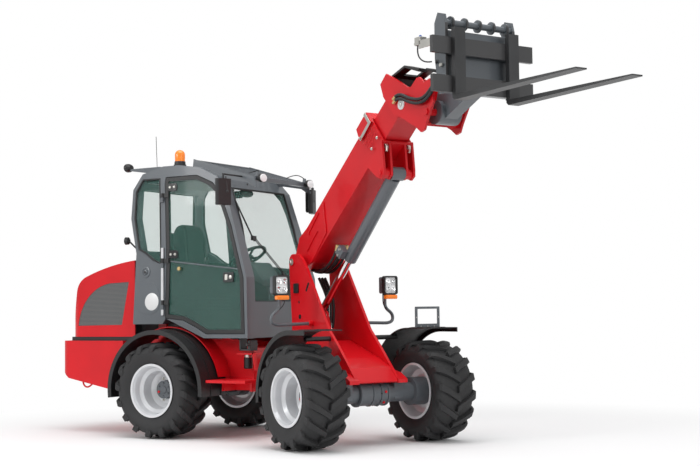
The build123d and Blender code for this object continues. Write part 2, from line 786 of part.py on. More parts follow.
# Doors: a frame round one pane, hung at the rear pillar
DOOR_FRAME = 34
for hand, name in ((-1, "right"), (1, "left")):
    wall = cab_side(hand)
    with BuildPart() as door:
        with BuildSketch(wall.offset(-DOOR_THICKNESS)):
            outline(*in_side(hand, *DOOR_OUTLINE))
            offset(amount=-DOOR_GAP)
        extrude(amount=DOOR_THICKNESS)
        with BuildSketch(wall.offset(-DOOR_THICKNESS)):
            outline(*in_side(hand, *DOOR_OUTLINE))
            offset(amount=-DOOR_GAP - DOOR_FRAME)
        extrude(amount=DOOR_THICKNESS, mode=Mode.SUBTRACT)
        for height in DOOR_HINGES:
            with BuildSketch(door_hinge(hand).offset(height + SEAT_GAP)):
                Circle(HINGE_RADIUS)
                with Locations((34, -hand * 6)):
                    Rectangle(68, 8)
                with Locations((57, -hand * 11)):
                    Rectangle(22, 10)
                Circle(HINGE_PIN + PIN_FIT, mode=Mode.SUBTRACT)
            extrude(amount=DOOR_KNUCKLE)
    door.part.label = f"door_{name}"
    export_step(door.part, f"parts/door_{name}.step")
    with BuildPart() as door_glass:
        with BuildSketch(wall.offset(-8 - GLASS)):
            outline(*in_side(hand, *DOOR_OUTLINE))
            offset(amount=-DOOR_GAP - DOOR_FRAME - SEAT_GAP)
        extrude(amount=GLASS)
    door_glass.part.label = f"door_glass_{name}"
    export_step(door_glass.part, f"parts/door_glass_{name}.step")

# Seat on its suspension box
SEAT_X = 60
with BuildPart() as seat:
    with BuildSketch(side(REAR)):
        outline(
            (SEAT_X - 200, SEAT_PLATFORM + SEAT_GAP),
            (SEAT_X + 105, SEAT_PLATFORM + SEAT_GAP),
            (SEAT_X + 170, 1260),
            (SEAT_X - 220, 1260),
        )
    extrude(amount=190, both=True)
    with BuildSketch(side(REAR)):
        outline(
            (SEAT_X - 230, 1255),
            (SEAT_X + 270, 1265),
            (SEAT_X + 280, 1360),
            (SEAT_X - 90, 1365),
            (SEAT_X - 185, 1980),
            (SEAT_X - 270, 1980),
            (SEAT_X - 260, 1320),
        )
    extrude(amount=245, both=True)
seat.part.label = "seat"
export_step(seat.part, "parts/seat.step")

# Steering column with its wheel and console
WHEEL_X = 400
with BuildPart() as steering_column:
    with BuildSketch(side(REAR)):
        outline(
            (600, CAB_FLOOR + SEAT_GAP),
            (790, CAB_FLOOR + SEAT_GAP),
            (780, 1300),
            (600, 1560),
            (540, 1560),
            (600, 1250),
        )
    extrude(amount=90, both=True)
    rake = placed(side(REAR), (WHEEL_X + 90, 1590, 0), x_dir=(0, 0, 1), z_dir=(-0.5, 0.866, 0))
    with BuildSketch(rake):
        Circle(190)
        Circle(160, mode=Mode.SUBTRACT)
        Rectangle(330, 30)
        Circle(45)
    extrude(amount=26)
    with BuildSketch(rake.offset(-120)):
        Circle(30)
    extrude(amount=125)
steering_column.part.label = "steering_column"
export_step(steering_column.part, "parts/steering_column.step")

# Guard over the roof's front: two side plates, two bars and slats that slope forward
GUARD_HALF_WIDTH = 430
GUARD_PLATE = 6
GUARD_SLATS = 9
GUARD_FRONT = 885
GUARD_LAMP_Z = 2290
with BuildPart() as roof_guard:
    for hand in (-1, 1):
        with BuildSketch(side(REAR, hand * GUARD_HALF_WIDTH)):
            outline(
                (190, 2400),
                (204, 2503),
                (870, 2304),
                (905, 2208),
                (865, 2212),
                (800, 2255),
                (600, 2290),
                (500, 2290),
            )
        extrude(amount=-hand * GUARD_PLATE)
    with BuildSketch(side(REAR)):
        with Locations((GUARD_FRONT - 15, GUARD_LAMP_Z - 6)):
            Rectangle(30, 34)
        with Locations((209, 2478)):
            Rectangle(22, 34)
    extrude(amount=GUARD_HALF_WIDTH + 1, both=True)
    for step in range(GUARD_SLATS):
        y = GUARD_HALF_WIDTH * (2 * (step + 1) / (GUARD_SLATS + 1) - 1)
        with BuildSketch(side(REAR, y)):
            outline((210, 2490), (865, 2296), (865, 2268), (210, 2462))
        extrude(amount=4, both=True)
    add(cab_solid(-SEAT_GAP), mode=Mode.SUBTRACT)
roof_guard.part.label = "roof_guard"
export_step(roof_guard.part, "parts/roof_guard.step")

# Beacon, two work lamps on the guard's front bar and two on arms behind the roof
LAMP_DEPTH = 60
REAR_LAMP_X = -560
REAR_LAMP_Z = 2475
BEACON_X = 30
BEACON_Y = -415
CAB_TOP = 2450
with BuildPart() as roof_lights:
    with BuildSketch(across(REAR, GUARD_FRONT + SEAT_GAP)):
        with Locations((GUARD_HALF_WIDTH - 50, GUARD_LAMP_Z), (50 - GUARD_HALF_WIDTH, GUARD_LAMP_Z)):
            Ellipse(58, 40)
    extrude(amount=LAMP_DEPTH)
    with BuildSketch(across(REAR, REAR_LAMP_X)):
        with Locations((GUARD_HALF_WIDTH - 30, REAR_LAMP_Z), (30 - GUARD_HALF_WIDTH, REAR_LAMP_Z)):
            Ellipse(58, 40)
    extrude(amount=-LAMP_DEPTH)
    for hand in (-1, 1):
        with BuildSketch(side(REAR, hand * (GUARD_HALF_WIDTH - 30))):
            outline(
                (REAR_LAMP_X - 20, REAR_LAMP_Z - 30),
                (REAR_LAMP_X - 20, REAR_LAMP_Z - 10),
                (-200, REAR_LAMP_Z - 10),
                (-180, CAB_TOP - 60),
                (-280, CAB_TOP - 60),
            )
        extrude(amount=16, both=True)
    add(cab_solid(-SEAT_GAP), mode=Mode.SUBTRACT)
    with BuildSketch(level(REAR, CAB_TOP + SEAT_GAP)):
        with Locations((BEACON_X, BEACON_Y)):
            Circle(58)
    extrude(amount=46)
    with BuildSketch(level(REAR, CAB_TOP + 46)):
        with Locations((BEACON_X, BEACON_Y)):
            Circle(47)
    extrude(amount=104, taper=4)
roof_lights.part.label = "roof_lights"
export_step(roof_lights.part, "parts/roof_lights.step")

# Outside mirrors on bent rods from the guard's side plates
MIRROR_X = 740
MIRROR_Y = 710
MIRROR_BOTTOM = 2040
MIRROR_TOP = 2270
MIRROR_ROD = 8
with BuildPart() as mirrors:
    for hand in (-1, 1):
        root = GUARD_HALF_WIDTH + GUARD_PLATE + SEAT_GAP
        with BuildSketch(side(REAR, hand * root)):
            with Locations((MIRROR_X, MIRROR_TOP + 40)):
                Circle(MIRROR_ROD)
        extrude(amount=-hand * (MIRROR_Y + MIRROR_ROD - root))
        with BuildSketch(level(REAR, MIRROR_TOP - 60)):
            with Locations((MIRROR_X, hand * MIRROR_Y)):
                Circle(MIRROR_ROD)
        extrude(amount=100)
        turned = placed(REAR, (MIRROR_X, hand * MIRROR_Y, MIRROR_BOTTOM), x_dir=(-0.34 * hand, 0.94, 0))
        with BuildSketch(turned):
            RectangleRounded(150, 46, 16)
        extrude(amount=MIRROR_TOP - MIRROR_BOTTOM)
mirrors.part.label = "mirrors"
export_step(mirrors.part, "parts/mirrors.step")


FENDER_RADIUS = 535
FENDER_SHEET = 8
FENDER_INSIDE = 405
FENDER_OUTSIDE = 770
FENDER_TUBE = 20
FENDER_LIP = 40
FENDER_RIB = 5


def fender(frame, x, hand, start, end, flat, holder, angle):
    """Arched fender with an outer lip, level ahead of its arch, held by a tube from a frame plate."""
    centre = placed(side(frame, hand * FENDER_INSIDE), (x, wheel_radius, 0))
    breadth = FENDER_OUTSIDE - FENDER_INSIDE
    layers = (
        (FENDER_RADIUS - FENDER_SHEET, FENDER_RADIUS, 0, breadth),
        (FENDER_RADIUS - FENDER_LIP, FENDER_RADIUS, breadth - FENDER_SHEET, breadth),
        (FENDER_RADIUS - 1, FENDER_RADIUS + FENDER_RIB, 0.2 * breadth, 0.2 * breadth + 16),
        (FENDER_RADIUS - 1, FENDER_RADIUS + FENDER_RIB, 0.6 * breadth, 0.6 * breadth + 16),
    )
    with BuildPart(mode=Mode.PRIVATE) as form:
        for near, far, inner_y, outer_y in layers:
            with BuildSketch(centre.offset(-hand * inner_y)):
                with BuildLine():
                    inner = CenterArc((0, 0), near, start, end - start)
                    outer = CenterArc((0, 0), far, start, end - start)
                    Line(inner @ 1, outer @ 1)
                    if flat:
                        Polyline(inner @ 0, (flat, near), (flat, far), outer @ 0)
                    else:
                        Line(inner @ 0, outer @ 0)
                make_face()
            extrude(amount=-hand * (outer_y - inner_y))
        grip = FENDER_RADIUS - FENDER_TUBE - 1
        with BuildSketch(side(frame, hand * (holder + SEAT_GAP))):
            with Locations((x + grip * cos(radians(angle)), wheel_radius + grip * sin(radians(angle)))):
                Circle(FENDER_TUBE)
        extrude(amount=-hand * (FENDER_INSIDE + 60 - holder))
    return form.part


with BuildPart() as rear_fenders:
    for hand in (-1, 1):
        add(fender(REAR, 0, hand, -5, 188, 0, CHASSIS_HALF_WIDTH, 47))
rear_fenders.part.label = "rear_fenders"
export_step(rear_fenders.part, "parts/rear_fenders.step")

with BuildPart() as front_fenders:
    for hand in (-1, 1):
        add(fender(FRONT, PIVOT_TO_FRONT_AXLE, hand, 90, 187, 225, TOWER_HALF_WIDTH, 118))
front_fenders.part.label = "front_fenders"
export_step(front_fenders.part, "parts/front_fenders.step")

# Front chassis: two tower plates, the nose, cross tubes and the pivot block
TOWER = (
    (175, 1535),
    (185, 1580),
    (215, 1606),
    (255, 1610),
    (330, 1604),
    (395, 1555),
    (458, 1479),
    (800, 950),
    (941, 812),
    (1211, 525),
    (1211, NOSE_BOTTOM),
    (900, NOSE_BOTTOM),
    (700, 420),
    (250, 360),
    (200, 420),
    (215, 1000),
)
tower_inside = TOWER_HALF_WIDTH - TOWER_PLATE
with BuildPart() as front_chassis:
    for hand in (-1, 1):
        with BuildSketch(side(FRONT, hand * tower_inside)):
            outline(*TOWER)
        extrude(amount=-hand * TOWER_PLATE)
        with BuildSketch(side(FRONT, hand * tower_inside)):
            outline((880, 640), (1120, 590), (1210, 540), (1210, NOSE_BOTTOM), (880, NOSE_BOTTOM))
        extrude(amount=-hand * (NOSE_HALF_WIDTH - tower_inside))
    with BuildSketch(side(FRONT)):
        outline((200, 380), (250, 365), (250, 800), (215, 800))
        outline((250, 400), (700, 440), (700, 470), (250, 430))
    extrude(amount=tower_inside + 1, both=True)
    for height in (STEER_LEVEL - 40, STEER_LEVEL + 23):
        with BuildSketch(level(FRONT, height)):
            with Locations((STEER_FRONT_X, STEER_FRONT_Y)):
                Circle(30)
            with Locations((STEER_FRONT_X + 70, STEER_FRONT_Y)):
                Rectangle(140, 60)
        extrude(amount=17)
    with BuildSketch(level(FRONT, STEER_LEVEL - 40)):
        with Locations((215, STEER_FRONT_Y - 30)):
            Rectangle(50, 90)
    extrude(amount=80)
    for hand in (-1, 1):
        with BuildSketch(side(FRONT, hand * (LIFT_FOOT_HALF_WIDTH + SEAT_GAP))):
            with Locations((LIFT_FOOT_X, LIFT_FOOT_Z)):
                Circle(60)
            outline(
                (LIFT_FOOT_X - 60, LIFT_FOOT_Z),
                (LIFT_FOOT_X + 60, LIFT_FOOT_Z),
                (LIFT_FOOT_X + 150, 780),
                (LIFT_FOOT_X - 100, 780),
            )
        extrude(amount=-hand * 22)
    with BuildSketch(side(FRONT)):
        outline((210, 760), (LIFT_FOOT_X + 160, 760), (LIFT_FOOT_X + 160, 790), (210, 790))
    extrude(amount=tower_inside + 1, both=True)
    with BuildSketch(level(FRONT, PIVOT_LOWER_EAR + PIVOT_EAR_PLATE + 3)):
        Circle(PIVOT_EAR_RADIUS - 12)
        with Locations((120, 0)):
            Rectangle(240, 130)
    extrude(amount=PIVOT_UPPER_EAR - PIVOT_LOWER_EAR - PIVOT_EAR_PLATE - 6)
    with BuildSketch(level(FRONT, 0)):
        Circle(PIVOT_PIN_RADIUS + PIN_FIT)
    extrude(amount=1000, mode=Mode.SUBTRACT)
    with BuildSketch(side(FRONT)):
        with Locations((BOOM_PIN_X, BOOM_PIN_Z)):
            Circle(BOOM_PIN_RADIUS)
    extrude(amount=TOWER_HALF_WIDTH + 12, both=True)
front_chassis.part.label = "front_chassis"
export_step(front_chassis.part, "parts/front_chassis.step")

# Sheet on top of the nose, between the tower plates and under the lift cylinder
with BuildPart() as nose_sheet:
    with BuildSketch(side(FRONT)):
        outline(
            (509, 834),
            (509, 854),
            (930, 715),
            (1100, 638),
            (1205, 525),
            (1190, 515),
            (1088, 620),
            (922, 696),
        )
    extrude(amount=tower_inside - SEAT_GAP, both=True)
nose_sheet.part.label = "nose_sheet"
export_step(nose_sheet.part, "parts/nose_sheet.step")

# Headlamps on bent tubes
LAMP_X = 545
LAMP_Y = 535
LAMP_Z = 1330
LAMP_FRONT = 624
LAMP_BEZEL = 44
LAMP_SHELL = 55
LAMP_POST = 17
LAMP_TUBE = 14
with BuildPart() as headlamps:
    for hand in (-1, 1):
        with BuildSketch(across(FRONT, LAMP_FRONT - LAMP_BEZEL - LAMP_SHELL)):
            with Locations((hand * (LAMP_Y + 24), LAMP_Z)):
                RectangleRounded(126, 146, 14)
        extrude(amount=LAMP_SHELL + 1)
        with BuildSketch(across(FRONT, LAMP_FRONT - LAMP_BEZEL)):
            with Locations((hand * (LAMP_Y + 24), LAMP_Z)):
                RectangleRounded(144, 164, 20)
        extrude(amount=LAMP_BEZEL)
        with BuildSketch(across(FRONT, LAMP_FRONT)):
            with Locations((hand * (LAMP_Y + 24), LAMP_Z)):
                RectangleRounded(120, 140, 16)
        extrude(amount=-0.6 * LAMP_BEZEL, mode=Mode.SUBTRACT)
        with BuildSketch(level(FRONT, 980)):
            with Locations((LAMP_X, hand * LAMP_Y)):
                Circle(LAMP_POST)
        extrude(amount=LAMP_Z - 50 - 980)
        with BuildSketch(side(FRONT, hand * (TOWER_HALF_WIDTH + SEAT_GAP))):
            with Locations((LAMP_X, 1005)):
                Circle(LAMP_TUBE)
        extrude(amount=-hand * (LAMP_Y - TOWER_HALF_WIDTH - SEAT_GAP))
headlamps.part.label = "headlamps"
export_step(headlamps.part, "parts/headlamps.step")

# Outer boom: a box tube with root plates, pivot tube, collar and cylinder ears
with BuildPart() as outer_boom:
    middle = (OUTER_BOOM_TOP + OUTER_BOOM_BOTTOM) / 2
    depth = OUTER_BOOM_TOP - OUTER_BOOM_BOTTOM
    with BuildSketch(across(BOOM, OUTER_BOOM_START)):
        with Locations((0, middle)):
            Rectangle(2 * OUTER_BOOM_HALF_WIDTH, depth)
    extrude(amount=OUTER_BOOM_END - OUTER_BOOM_START)
    with BuildSketch(side(BOOM)):
        outline((-60, -60), (-60, 60), (0, 95), (128, 172), (260, 152), (260, -131), (148, -137), (0, -95))
    extrude(amount=OUTER_BOOM_HALF_WIDTH, both=True)
    with BuildSketch(side(BOOM)):
        outline((1372, 150), (1390, 210), (OUTER_BOOM_END, 210), (OUTER_BOOM_END, 100), (1372, 100))
        outline(
            (1290, -120), (1330, -290), (1362, -345), (1415, -350), (1450, -310), (1580, -120)
        )
    extrude(amount=OUTER_BOOM_HALF_WIDTH + EAR_PLATE - 2, both=True)
    for hand in (-1, 1):
        with BuildSketch(side(BOOM, hand * (OUTER_BOOM_HALF_WIDTH - 1))):
            outline((-60, -60), (-60, 60), (0, 95), (128, 150), (621, 126), (479, -101), (148, -131), (0, -95))
            with Locations((394, 83)):
                SlotOverall(246, 30, rotation=5.7, mode=Mode.SUBTRACT)
            with Locations((278, -17)):
                SlotOverall(250, 30, rotation=3.8, mode=Mode.SUBTRACT)
        extrude(amount=-hand * (ROOT_PLATE + 1))
    with BuildSketch(side(BOOM)):
        Circle(62)
    extrude(amount=tower_inside - 2, both=True)
    with BuildSketch(side(BOOM)):
        Circle(BOOM_PIN_RADIUS + PIN_FIT)
    extrude(amount=300, both=True, mode=Mode.SUBTRACT)
    with BuildSketch(across(BOOM, 200)):
        with Locations((0, middle)):
            Rectangle(
                2 * (OUTER_BOOM_HALF_WIDTH - OUTER_BOOM_PLATE), depth - 2 * OUTER_BOOM_PLATE
            )
    extrude(amount=2000, mode=Mode.SUBTRACT)
    with BuildSketch(side(BOOM)):
        outline((1200, -140), (1200, -400), (1700, -400), (1700, -140))
    extrude(amount=LIFT_EAR_GAP, both=True, mode=Mode.SUBTRACT)
    for hand in (-1, 1):
        with BuildSketch(side(BOOM, hand * (LIFT_EAR_GAP + EAR_PLATE))):
            outline((1200, -140), (1200, -400), (1700, -400), (1700, -140))
        extrude(amount=-hand * (OUTER_BOOM_HALF_WIDTH - LIFT_EAR_GAP - EAR_PLATE - 2), mode=Mode.SUBTRACT)
        with BuildSketch(side(BOOM, hand * LIFT_EAR_GAP)):
            with Locations((LIFT_EAR_S, LIFT_EAR_N)):
                Circle(LIFT_PIN_RADIUS + 17)
        extrude(amount=-hand * (OUTER_BOOM_HALF_WIDTH + EAR_PLATE - LIFT_EAR_GAP))
    with BuildSketch(side(BOOM)):
        with Locations((LIFT_EAR_S, LIFT_EAR_N)):
            Circle(LIFT_PIN_RADIUS)
    extrude(amount=OUTER_BOOM_HALF_WIDTH + EAR_PLATE + 6, both=True)
outer_boom.part.label = "outer_boom"
export_step(outer_boom.part, "parts/outer_boom.step")

# Inner boom with its head plates
HEAD = (
    (1886, 200),
    (1996, 204),
    (2053, 73),
    (2117, -96),
    (2146, -125),
    (2242, -130),
    (2268, -149),
    (2278, -224),
    (2347, -255),
    (2317, -335),
    (2266, -422),
    (2103, -473),
    (2040, -500),
    (1998, -481),
    (1981, -408),
    (1889, -180),
    (1850, -130),
    (1850, 100),
)
head_inside = HEAD_HALF_WIDTH - HEAD_PLATE
with BuildPart() as inner_boom:
    middle = (INNER_BOOM_TOP + INNER_BOOM_BOTTOM) / 2
    depth = INNER_BOOM_TOP - INNER_BOOM_BOTTOM
    with BuildSketch(across(BOOM, INNER_BOOM_START)):
        with Locations((0, middle)):
            Rectangle(2 * INNER_BOOM_HALF_WIDTH, depth)
            Rectangle(
                2 * (INNER_BOOM_HALF_WIDTH - INNER_BOOM_PLATE),
                depth - 2 * INNER_BOOM_PLATE,
                mode=Mode.SUBTRACT,
            )
    extrude(amount=INNER_BOOM_END - INNER_BOOM_START)
    with BuildSketch(side(BOOM)):
        outline((1830, 122), (1845, 122), (1845, -108), (1830, -108))
        outline((1830, -108), (1845, -108), (2060, -440), (2040, -450))
    extrude(amount=head_inside + 1, both=True)
    for hand in (-1, 1):
        with BuildSketch(side(BOOM, hand * head_inside)):
            outline(*HEAD)
        extrude(amount=-hand * HEAD_PLATE)
    with BuildSketch(across(BOOM, 1700)):
        with Locations((0, middle)):
            Rectangle(
                2 * (INNER_BOOM_HALF_WIDTH - INNER_BOOM_PLATE), depth - 2 * INNER_BOOM_PLATE
            )
    extrude(amount=500, mode=Mode.SUBTRACT)
    with BuildSketch(side(BOOM)):
        with Locations((TILT_PIN_S, TILT_PIN_N)):
            Circle(TILT_PIN_RADIUS)
    extrude(amount=HEAD_HALF_WIDTH + 10, both=True)
    with BuildSketch(across(BOOM, INNER_BOOM_START)):
        with Locations((0, (OUTER_BOOM_TOP + OUTER_BOOM_BOTTOM) / 2)):
            Rectangle(
                2 * (OUTER_BOOM_HALF_WIDTH - OUTER_BOOM_PLATE - SEAT_GAP),
                OUTER_BOOM_TOP - OUTER_BOOM_BOTTOM - 2 * OUTER_BOOM_PLATE - 2 * SEAT_GAP,
            )
        with Locations((0, middle)):
            Rectangle(
                2 * (INNER_BOOM_HALF_WIDTH - INNER_BOOM_PLATE),
                depth - 2 * INNER_BOOM_PLATE,
                mode=Mode.SUBTRACT,
            )
    extrude(amount=SLIDE_PAD)
inner_boom.part.label = "inner_boom"
export_step(inner_boom.part, "parts/inner_boom.step")

# Coupler: a hub on the tilt pin, two arms and a cross tube
hub_x, hub_z = boom_point(TILT_PIN_S, TILT_PIN_N)
carriage_top = LOWER_BAR_BOTTOM + CARRIAGE_HEIGHT
hook_top = carriage_top + HOOK_ABOVE
HUB_HALF_WIDTH = 98
COUPLER_BACK = CARRIAGE_FRONT_X - CARRIAGE_BAR - 96
with BuildPart() as coupler:
    with BuildSketch(side(FRONT)):
        with Locations((hub_x, hub_z)):
            Circle(TILT_HUB_RADIUS)
    extrude(amount=HUB_HALF_WIDTH, both=True)
    with BuildSketch(side(FRONT)):
        outline(
            (hub_x - 40, hub_z + 60),
            (hub_x + 40, hub_z + 330),
            (COUPLER_BACK, carriage_top + 56),
            (COUPLER_BACK + 60, carriage_top + 56),
            (COUPLER_BACK + 60, LOWER_BAR_BOTTOM + 33),
            (hub_x + 60, hub_z - 60),
        )
    extrude(amount=60, both=True)
    with BuildSketch(side(FRONT)):
        outline(
            (COUPLER_BACK, LOWER_BAR_BOTTOM + 13),
            (COUPLER_BACK, carriage_top + 66),
            (COUPLER_BACK + 60, carriage_top + 66),
            (COUPLER_BACK + 60, LOWER_BAR_BOTTOM + 13),
        )
    extrude(amount=HOOK_SPACING / 2 - HOOK_PLATE - SEAT_GAP, both=True)
    with BuildSketch(side(FRONT)):
        with Locations((hub_x, hub_z)):
            Circle(TILT_PIN_RADIUS + PIN_FIT)
    extrude(amount=300, both=True, mode=Mode.SUBTRACT)
coupler.part.label = "coupler"
export_step(coupler.part, "parts/coupler.step")

# Fork carriage: two bars, two hook plates and the tube with its rings
bar_back = CARRIAGE_FRONT_X - CARRIAGE_BAR
RING_RADIUS = 48
RING_SPACING = 130
with BuildPart() as fork_carriage:
    for bottom in (LOWER_BAR_BOTTOM, LOWER_BAR_BOTTOM + CARRIAGE_HEIGHT - BAR_HEIGHT):
        with BuildSketch(across(FRONT, bar_back)):
            with Locations((0, bottom + BAR_HEIGHT / 2)):
                Rectangle(2 * CARRIAGE_HALF_WIDTH, BAR_HEIGHT)
        extrude(amount=CARRIAGE_BAR)
    for hand in (-1, 1):
        with BuildSketch(side(FRONT, hand * (HOOK_SPACING / 2 - HOOK_PLATE))):
            outline(
                (bar_back, LOWER_BAR_BOTTOM + 3),
                (bar_back - 90, LOWER_BAR_BOTTOM + 3),
                (bar_back - 130, hook_top - 344),
                (bar_back - 130, hook_top - 74),
                (bar_back - 90, hook_top),
                (bar_back - 20, hook_top - 20),
                (bar_back, hook_top - 94),
            )
        extrude(amount=-hand * HOOK_PLATE)
    with BuildSketch(side(FRONT)):
        with Locations((bar_back - 35, hook_top - 79)):
            Circle(24)
    extrude(amount=HOOK_SPACING / 2 - HOOK_PLATE, both=True)
    for step in (-2, -1, 0, 1, 2):
        with BuildSketch(side(FRONT, step * RING_SPACING)):
            with Locations((bar_back - 35, hook_top - 79)):
                Circle(RING_RADIUS)
        extrude(amount=7, both=True)
fork_carriage.part.label = "fork_carriage"
export_step(fork_carriage.part, "parts/fork_carriage.step")

# Forks: L-shaped, hung on the bars
for hand, name in ((-1, "right"), (1, "left")):
    with BuildPart() as fork:
        middle = hand * FORK_SPACING / 2
        front = CARRIAGE_FRONT_X + SEAT_GAP
        with BuildSketch(side(FRONT, middle)):
            outline(
                (front, FORK_TOP),
                (front, FORK_BOTTOM + 20),
                (front + 20, FORK_BOTTOM),
                (FORK_TIP_X, FORK_BOTTOM + FORK_THICKNESS - 10),
                (FORK_TIP_X, FORK_BOTTOM + FORK_THICKNESS),
                (front + FORK_THICKNESS, FORK_BOTTOM + FORK_THICKNESS),
                (front + FORK_THICKNESS, FORK_TOP),
            )
        extrude(amount=FORK_WIDTH / 2, both=True)
    fork.part.label = f"fork_{name}"
    export_step(fork.part, f"parts/fork_{name}.step")

# Lift cylinder: its barrel hangs in the boom's ears and its rod points at its foot
ear_x, ear_z = boom_point(LIFT_EAR_S, LIFT_EAR_N)
lift_length = hypot(ear_x - LIFT_FOOT_X, ear_z - LIFT_FOOT_Z)
lift_slope = atan2(LIFT_FOOT_Z - ear_z, LIFT_FOOT_X - ear_x)
LIFT = placed(
    FRONT, (ear_x, 0, ear_z),
    x_dir=(cos(lift_slope), 0, sin(lift_slope)),
    z_dir=(-sin(lift_slope), 0, cos(lift_slope)),
)
EYE_HALF_WIDTH = LIFT_EAR_GAP - 2
with BuildPart() as lift_barrel:
    with BuildSketch(across(LIFT, 40)):
        Circle(LIFT_BARREL_RADIUS)
    extrude(amount=LIFT_BARREL_LENGTH - 40)
    with BuildSketch(side(LIFT)):
        Circle(56)
    extrude(amount=EYE_HALF_WIDTH, both=True)
    with BuildSketch(side(LIFT)):
        Circle(LIFT_PIN_RADIUS + PIN_FIT)
    extrude(amount=EYE_HALF_WIDTH, both=True, mode=Mode.SUBTRACT)
    with BuildSketch(across(LIFT, 110)):
        Circle(LIFT_BARREL_RADIUS - 10)
    extrude(amount=LIFT_BARREL_LENGTH - 110 - 50, mode=Mode.SUBTRACT)
    with BuildSketch(across(LIFT, 110)):
        Circle(LIFT_ROD_RADIUS + CYLINDER_FIT)
    extrude(amount=LIFT_BARREL_LENGTH, mode=Mode.SUBTRACT)
lift_barrel.part.label = "lift_barrel"
export_step(lift_barrel.part, "parts/lift_barrel.step")

LIFT_ROD_START = 680
with BuildPart() as lift_rod:
    with BuildSketch(across(LIFT, LIFT_ROD_START)):
        Circle(LIFT_ROD_RADIUS)
    extrude(amount=lift_length - LIFT_ROD_START)
    with BuildSketch(across(LIFT, LIFT_ROD_START)):
        Circle(LIFT_BARREL_RADIUS - 10 - CYLINDER_FIT)
    extrude(amount=40)
    with BuildSketch(side(LIFT)):
        with Locations((lift_length, 0)):
            Circle(50)
    extrude(amount=LIFT_FOOT_HALF_WIDTH, both=True)
lift_rod.part.label = "lift_rod"
export_step(lift_rod.part, "parts/lift_rod.step")

# Steering cylinder between the rear chassis and the front chassis
steer_x = REAR_AXLE_TO_PIVOT + STEER_FRONT_X * cos(turn) - STEER_FRONT_Y * sin(turn)
steer_y = STEER_FRONT_X * sin(turn) + STEER_FRONT_Y * cos(turn)
steer_length = hypot(steer_x - STEER_REAR_X, steer_y - STEER_REAR_Y)
steer_turn = atan2(steer_y - STEER_REAR_Y, steer_x - STEER_REAR_X)
STEER = placed(
    REAR, (STEER_REAR_X, STEER_REAR_Y, STEER_LEVEL), x_dir=(cos(steer_turn), sin(steer_turn), 0)
)
with BuildPart() as steer_barrel:
    with BuildSketch(across(STEER, 25)):
        Circle(STEER_BARREL_RADIUS)
    extrude(amount=STEER_BARREL_LENGTH - 25)
    with BuildSketch(level(STEER)):
        Circle(34)
    extrude(amount=24, both=True)
    with BuildSketch(level(STEER)):
        Circle(STEER_PIN_RADIUS + PIN_FIT)
    extrude(amount=60, both=True, mode=Mode.SUBTRACT)
    with BuildSketch(across(STEER, 60)):
        Circle(STEER_ROD_RADIUS + CYLINDER_FIT)
    extrude(amount=STEER_BARREL_LENGTH, mode=Mode.SUBTRACT)
steer_barrel.part.label = "steer_barrel"
export_step(steer_barrel.part, "parts/steer_barrel.step")

STEER_ROD_START = 285
with BuildPart() as steer_rod:
    with BuildSketch(across(STEER, STEER_ROD_START)):
        Circle(STEER_ROD_RADIUS)
    extrude(amount=steer_length - STEER_ROD_START)
    with BuildSketch(level(STEER)):
        with Locations((steer_length, 0)):
            Circle(30)
    extrude(amount=23 - SEAT_GAP, both=True)
steer_rod.part.label = "steer_rod"
export_step(steer_rod.part, "parts/steer_rod.step")
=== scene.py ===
"""Looks of an articulated wheel loader with pallet forks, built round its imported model, in metres."""

import json
from math import atan2, cos, exp, radians, sin, sqrt, tau

import bmesh
import bpy
from mathutils import Matrix, Vector


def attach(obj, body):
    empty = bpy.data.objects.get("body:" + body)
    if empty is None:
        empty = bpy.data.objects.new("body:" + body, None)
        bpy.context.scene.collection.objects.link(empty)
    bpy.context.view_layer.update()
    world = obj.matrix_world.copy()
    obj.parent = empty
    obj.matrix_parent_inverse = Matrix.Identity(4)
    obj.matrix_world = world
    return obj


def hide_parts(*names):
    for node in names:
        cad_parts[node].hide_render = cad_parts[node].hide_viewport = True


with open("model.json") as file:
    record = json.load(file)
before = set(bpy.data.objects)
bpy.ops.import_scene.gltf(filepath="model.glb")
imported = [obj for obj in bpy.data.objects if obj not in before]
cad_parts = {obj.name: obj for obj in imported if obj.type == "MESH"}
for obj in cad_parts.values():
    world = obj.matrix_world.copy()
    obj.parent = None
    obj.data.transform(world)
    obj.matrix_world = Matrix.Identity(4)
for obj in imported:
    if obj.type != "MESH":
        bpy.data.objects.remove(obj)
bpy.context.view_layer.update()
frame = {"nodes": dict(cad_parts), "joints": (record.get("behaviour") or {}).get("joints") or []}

nodes = frame["nodes"]
joints = {joint["name"]: joint for joint in frame["joints"]}
UP = Vector((0, 0, 1))
X, Y, Z = (1, 0, 0), (0, 1, 0), (0, 0, 1)
SIDES = ((-1, "right"), (1, "left"))


# Frames, worked out from the joints: x is forward, y is to the left and z is up


def frame_at(origin, forward, left):
    """Matrix of a frame, from its origin and two of its directions."""
    above = forward.cross(left)
    return Matrix.Translation(origin) @ Matrix((forward, left, above)).transposed().to_4x4()


PIVOT_TO_REAR_AXLE = 1.06
PIVOT_TO_FRONT_AXLE = 1.058
WHEEL_RADIUS = 0.425
TRACK = 1.265
pivot = Vector(joints["articulation"]["pos_m"])
pivot.z = 0
boom_pin = Vector(joints["boom_lift"]["pos_m"])
front_left_way = -Vector(joints["boom_lift"]["axis"])
boom_way = Vector(joints["telescope"]["axis"])
lift_pin = Vector(joints["lift_barrel_swing"]["pos_m"])
lift_way = Vector(joints["lift_rod_slide"]["axis"])

REAR = frame_at(pivot - Vector((PIVOT_TO_REAR_AXLE, 0, 0)), Vector(X), Vector(Y))
FRONT = frame_at(pivot, front_left_way.cross(UP), front_left_way)
BOOM = frame_at(boom_pin, boom_way, front_left_way)
LIFT = frame_at(lift_pin, lift_way, front_left_way)


# Materials


